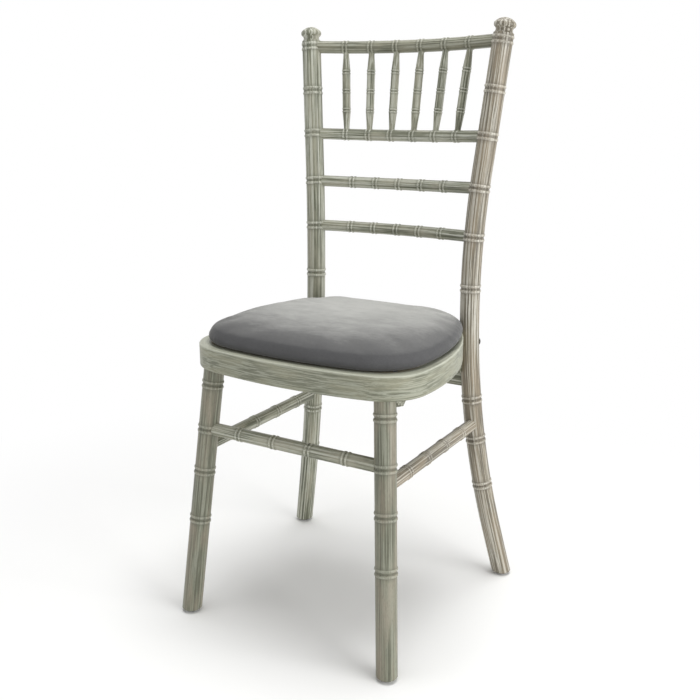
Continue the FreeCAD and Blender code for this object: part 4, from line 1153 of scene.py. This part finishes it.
@dataclass
class Studio:
    """Pale floor, soft lamps and the camera that took the photograph's view."""

    eye: Vector = Vector((0.704, -1.1742, 0.7911))
    yaw: float = math.radians(30.78)
    pitch: float = math.radians(15.25)
    focal_px: float = 894.6
    frame_px: float = 700.0
    sensor_mm: float = 36.0
    floor_half_side: float = 6.0
    floor_colour: str = "#F8F8F7"
    fade_start: float = 0.3
    fade_end: float = 1.1
    paper: str = "#FFFFFF"
    sky_strength: float = 0.36
    lamps: tuple[Lamp, ...] = (Lamp("side", (2.6, -0.3, 1.0), 0.5, 1.8, 48.0),
                               Lamp("front", (-1.6, -2.0, 1.2), 0.5, 1.8, 9.0),
                               Lamp("top", (0.2, 0.2, 4.0), 0.4, 2.2, 98.0))

    def camera(self) -> None:
        """Set the camera up."""
        data = bpy.data.cameras.new("photo camera")
        data.sensor_width = self.sensor_mm
        data.lens = self.focal_px * self.sensor_mm / self.frame_px
        data.clip_start = 0.01
        camera = bpy.data.objects.new("photo camera", data)
        bpy.context.collection.objects.link(camera)
        aim = Matrix.Rotation(self.yaw, 4, "Z") @ Matrix.Rotation(math.pi / 2 - self.pitch, 4, "X")
        camera.matrix_world = Matrix.Translation(self.eye) @ aim
        bpy.context.scene.camera = camera

    def seen(self, tree: bpy.types.NodeTree) -> bpy.types.Node:
        """Whether the camera sees a place, directly, in a reflection or through glass.

        Args:
            tree: Node tree.

        Returns:
            The node whose output is 1 where it does.
        """
        path = add_node(tree, "LightPath").outputs
        direct = add_node(tree, "Math", (path["Is Camera Ray"], path["Is Glossy Ray"]),
                          operation="MAXIMUM")
        return add_node(tree, "Math", (direct, path["Is Transmission Ray"]), operation="MAXIMUM")

    def floor(self) -> None:
        """Lay the pale floor, which keeps the chair's shadow and fades to white further out."""
        form = bmesh.new()
        bmesh.ops.create_grid(form, x_segments=1, y_segments=1, size=self.floor_half_side)
        mesh = bpy.data.meshes.new("studio floor")
        form.to_mesh(mesh)
        form.free()
        floor = bpy.data.objects.new("studio_floor", mesh)
        bpy.context.collection.objects.link(floor)
        material, tree, shader = new_material("studio floor, matt white")
        add = partial(add_node, tree)
        plug(tree, shader, {"Base Color": linear(self.floor_colour), "Roughness": 0.9})
        where = add("TexCoord").outputs["Object"]
        reach = add("VectorMath", (where,), operation="LENGTH").outputs["Value"]
        far = add("MapRange", (reach, self.fade_start, self.fade_end),
                  interpolation_type="SMOOTHSTEP")
        white = add("Emission", {"Color": linear(self.paper), "Strength": 1.0})
        share = add("Math", (far, self.seen(tree)), operation="MULTIPLY")
        both = add("MixShader", (share, shader, white))
        output = next(node for node in tree.nodes if node.type == "OUTPUT_MATERIAL")
        plug(tree, output, {"Surface": both})
        mesh.materials.append(material)

    def world(self) -> None:
        """Even sky light, plain white where the camera or a reflection sees it."""
        world = bpy.data.worlds.new("studio")
        world.use_nodes = True
        tree = world.node_tree
        tree.nodes.clear()
        sky, white = (add_node(tree, "Background", {"Color": linear(self.paper), "Strength": level})
                      for level in (self.sky_strength, 1.0))
        both = add_node(tree, "MixShader", (self.seen(tree), sky, white))
        add_node(tree, "OutputWorld", {"Surface": both})
        bpy.context.scene.world = world

    def build(self) -> None:
        """Set up the whole studio."""
        self.camera()
        self.floor()
        for lamp in self.lamps:
            lamp.hang()
        self.world()
        bpy.context.scene.view_settings.view_transform = "Standard"


def main() -> None:
    """Build the dressed chair and the studio round it."""
    logging.basicConfig(level=logging.INFO, format="%(name)s: %(message)s")
    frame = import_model()
    wood = Wood()
    back = Back()
    back.build(frame, wood)
    Base().build(frame, wood, back)
    SeatFrame().build(frame, wood)
    pad = SeatPad()
    pad.dress_underside(frame)
    pad.build(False)
    Studio().build()


if __name__ == "__main__":
    main()
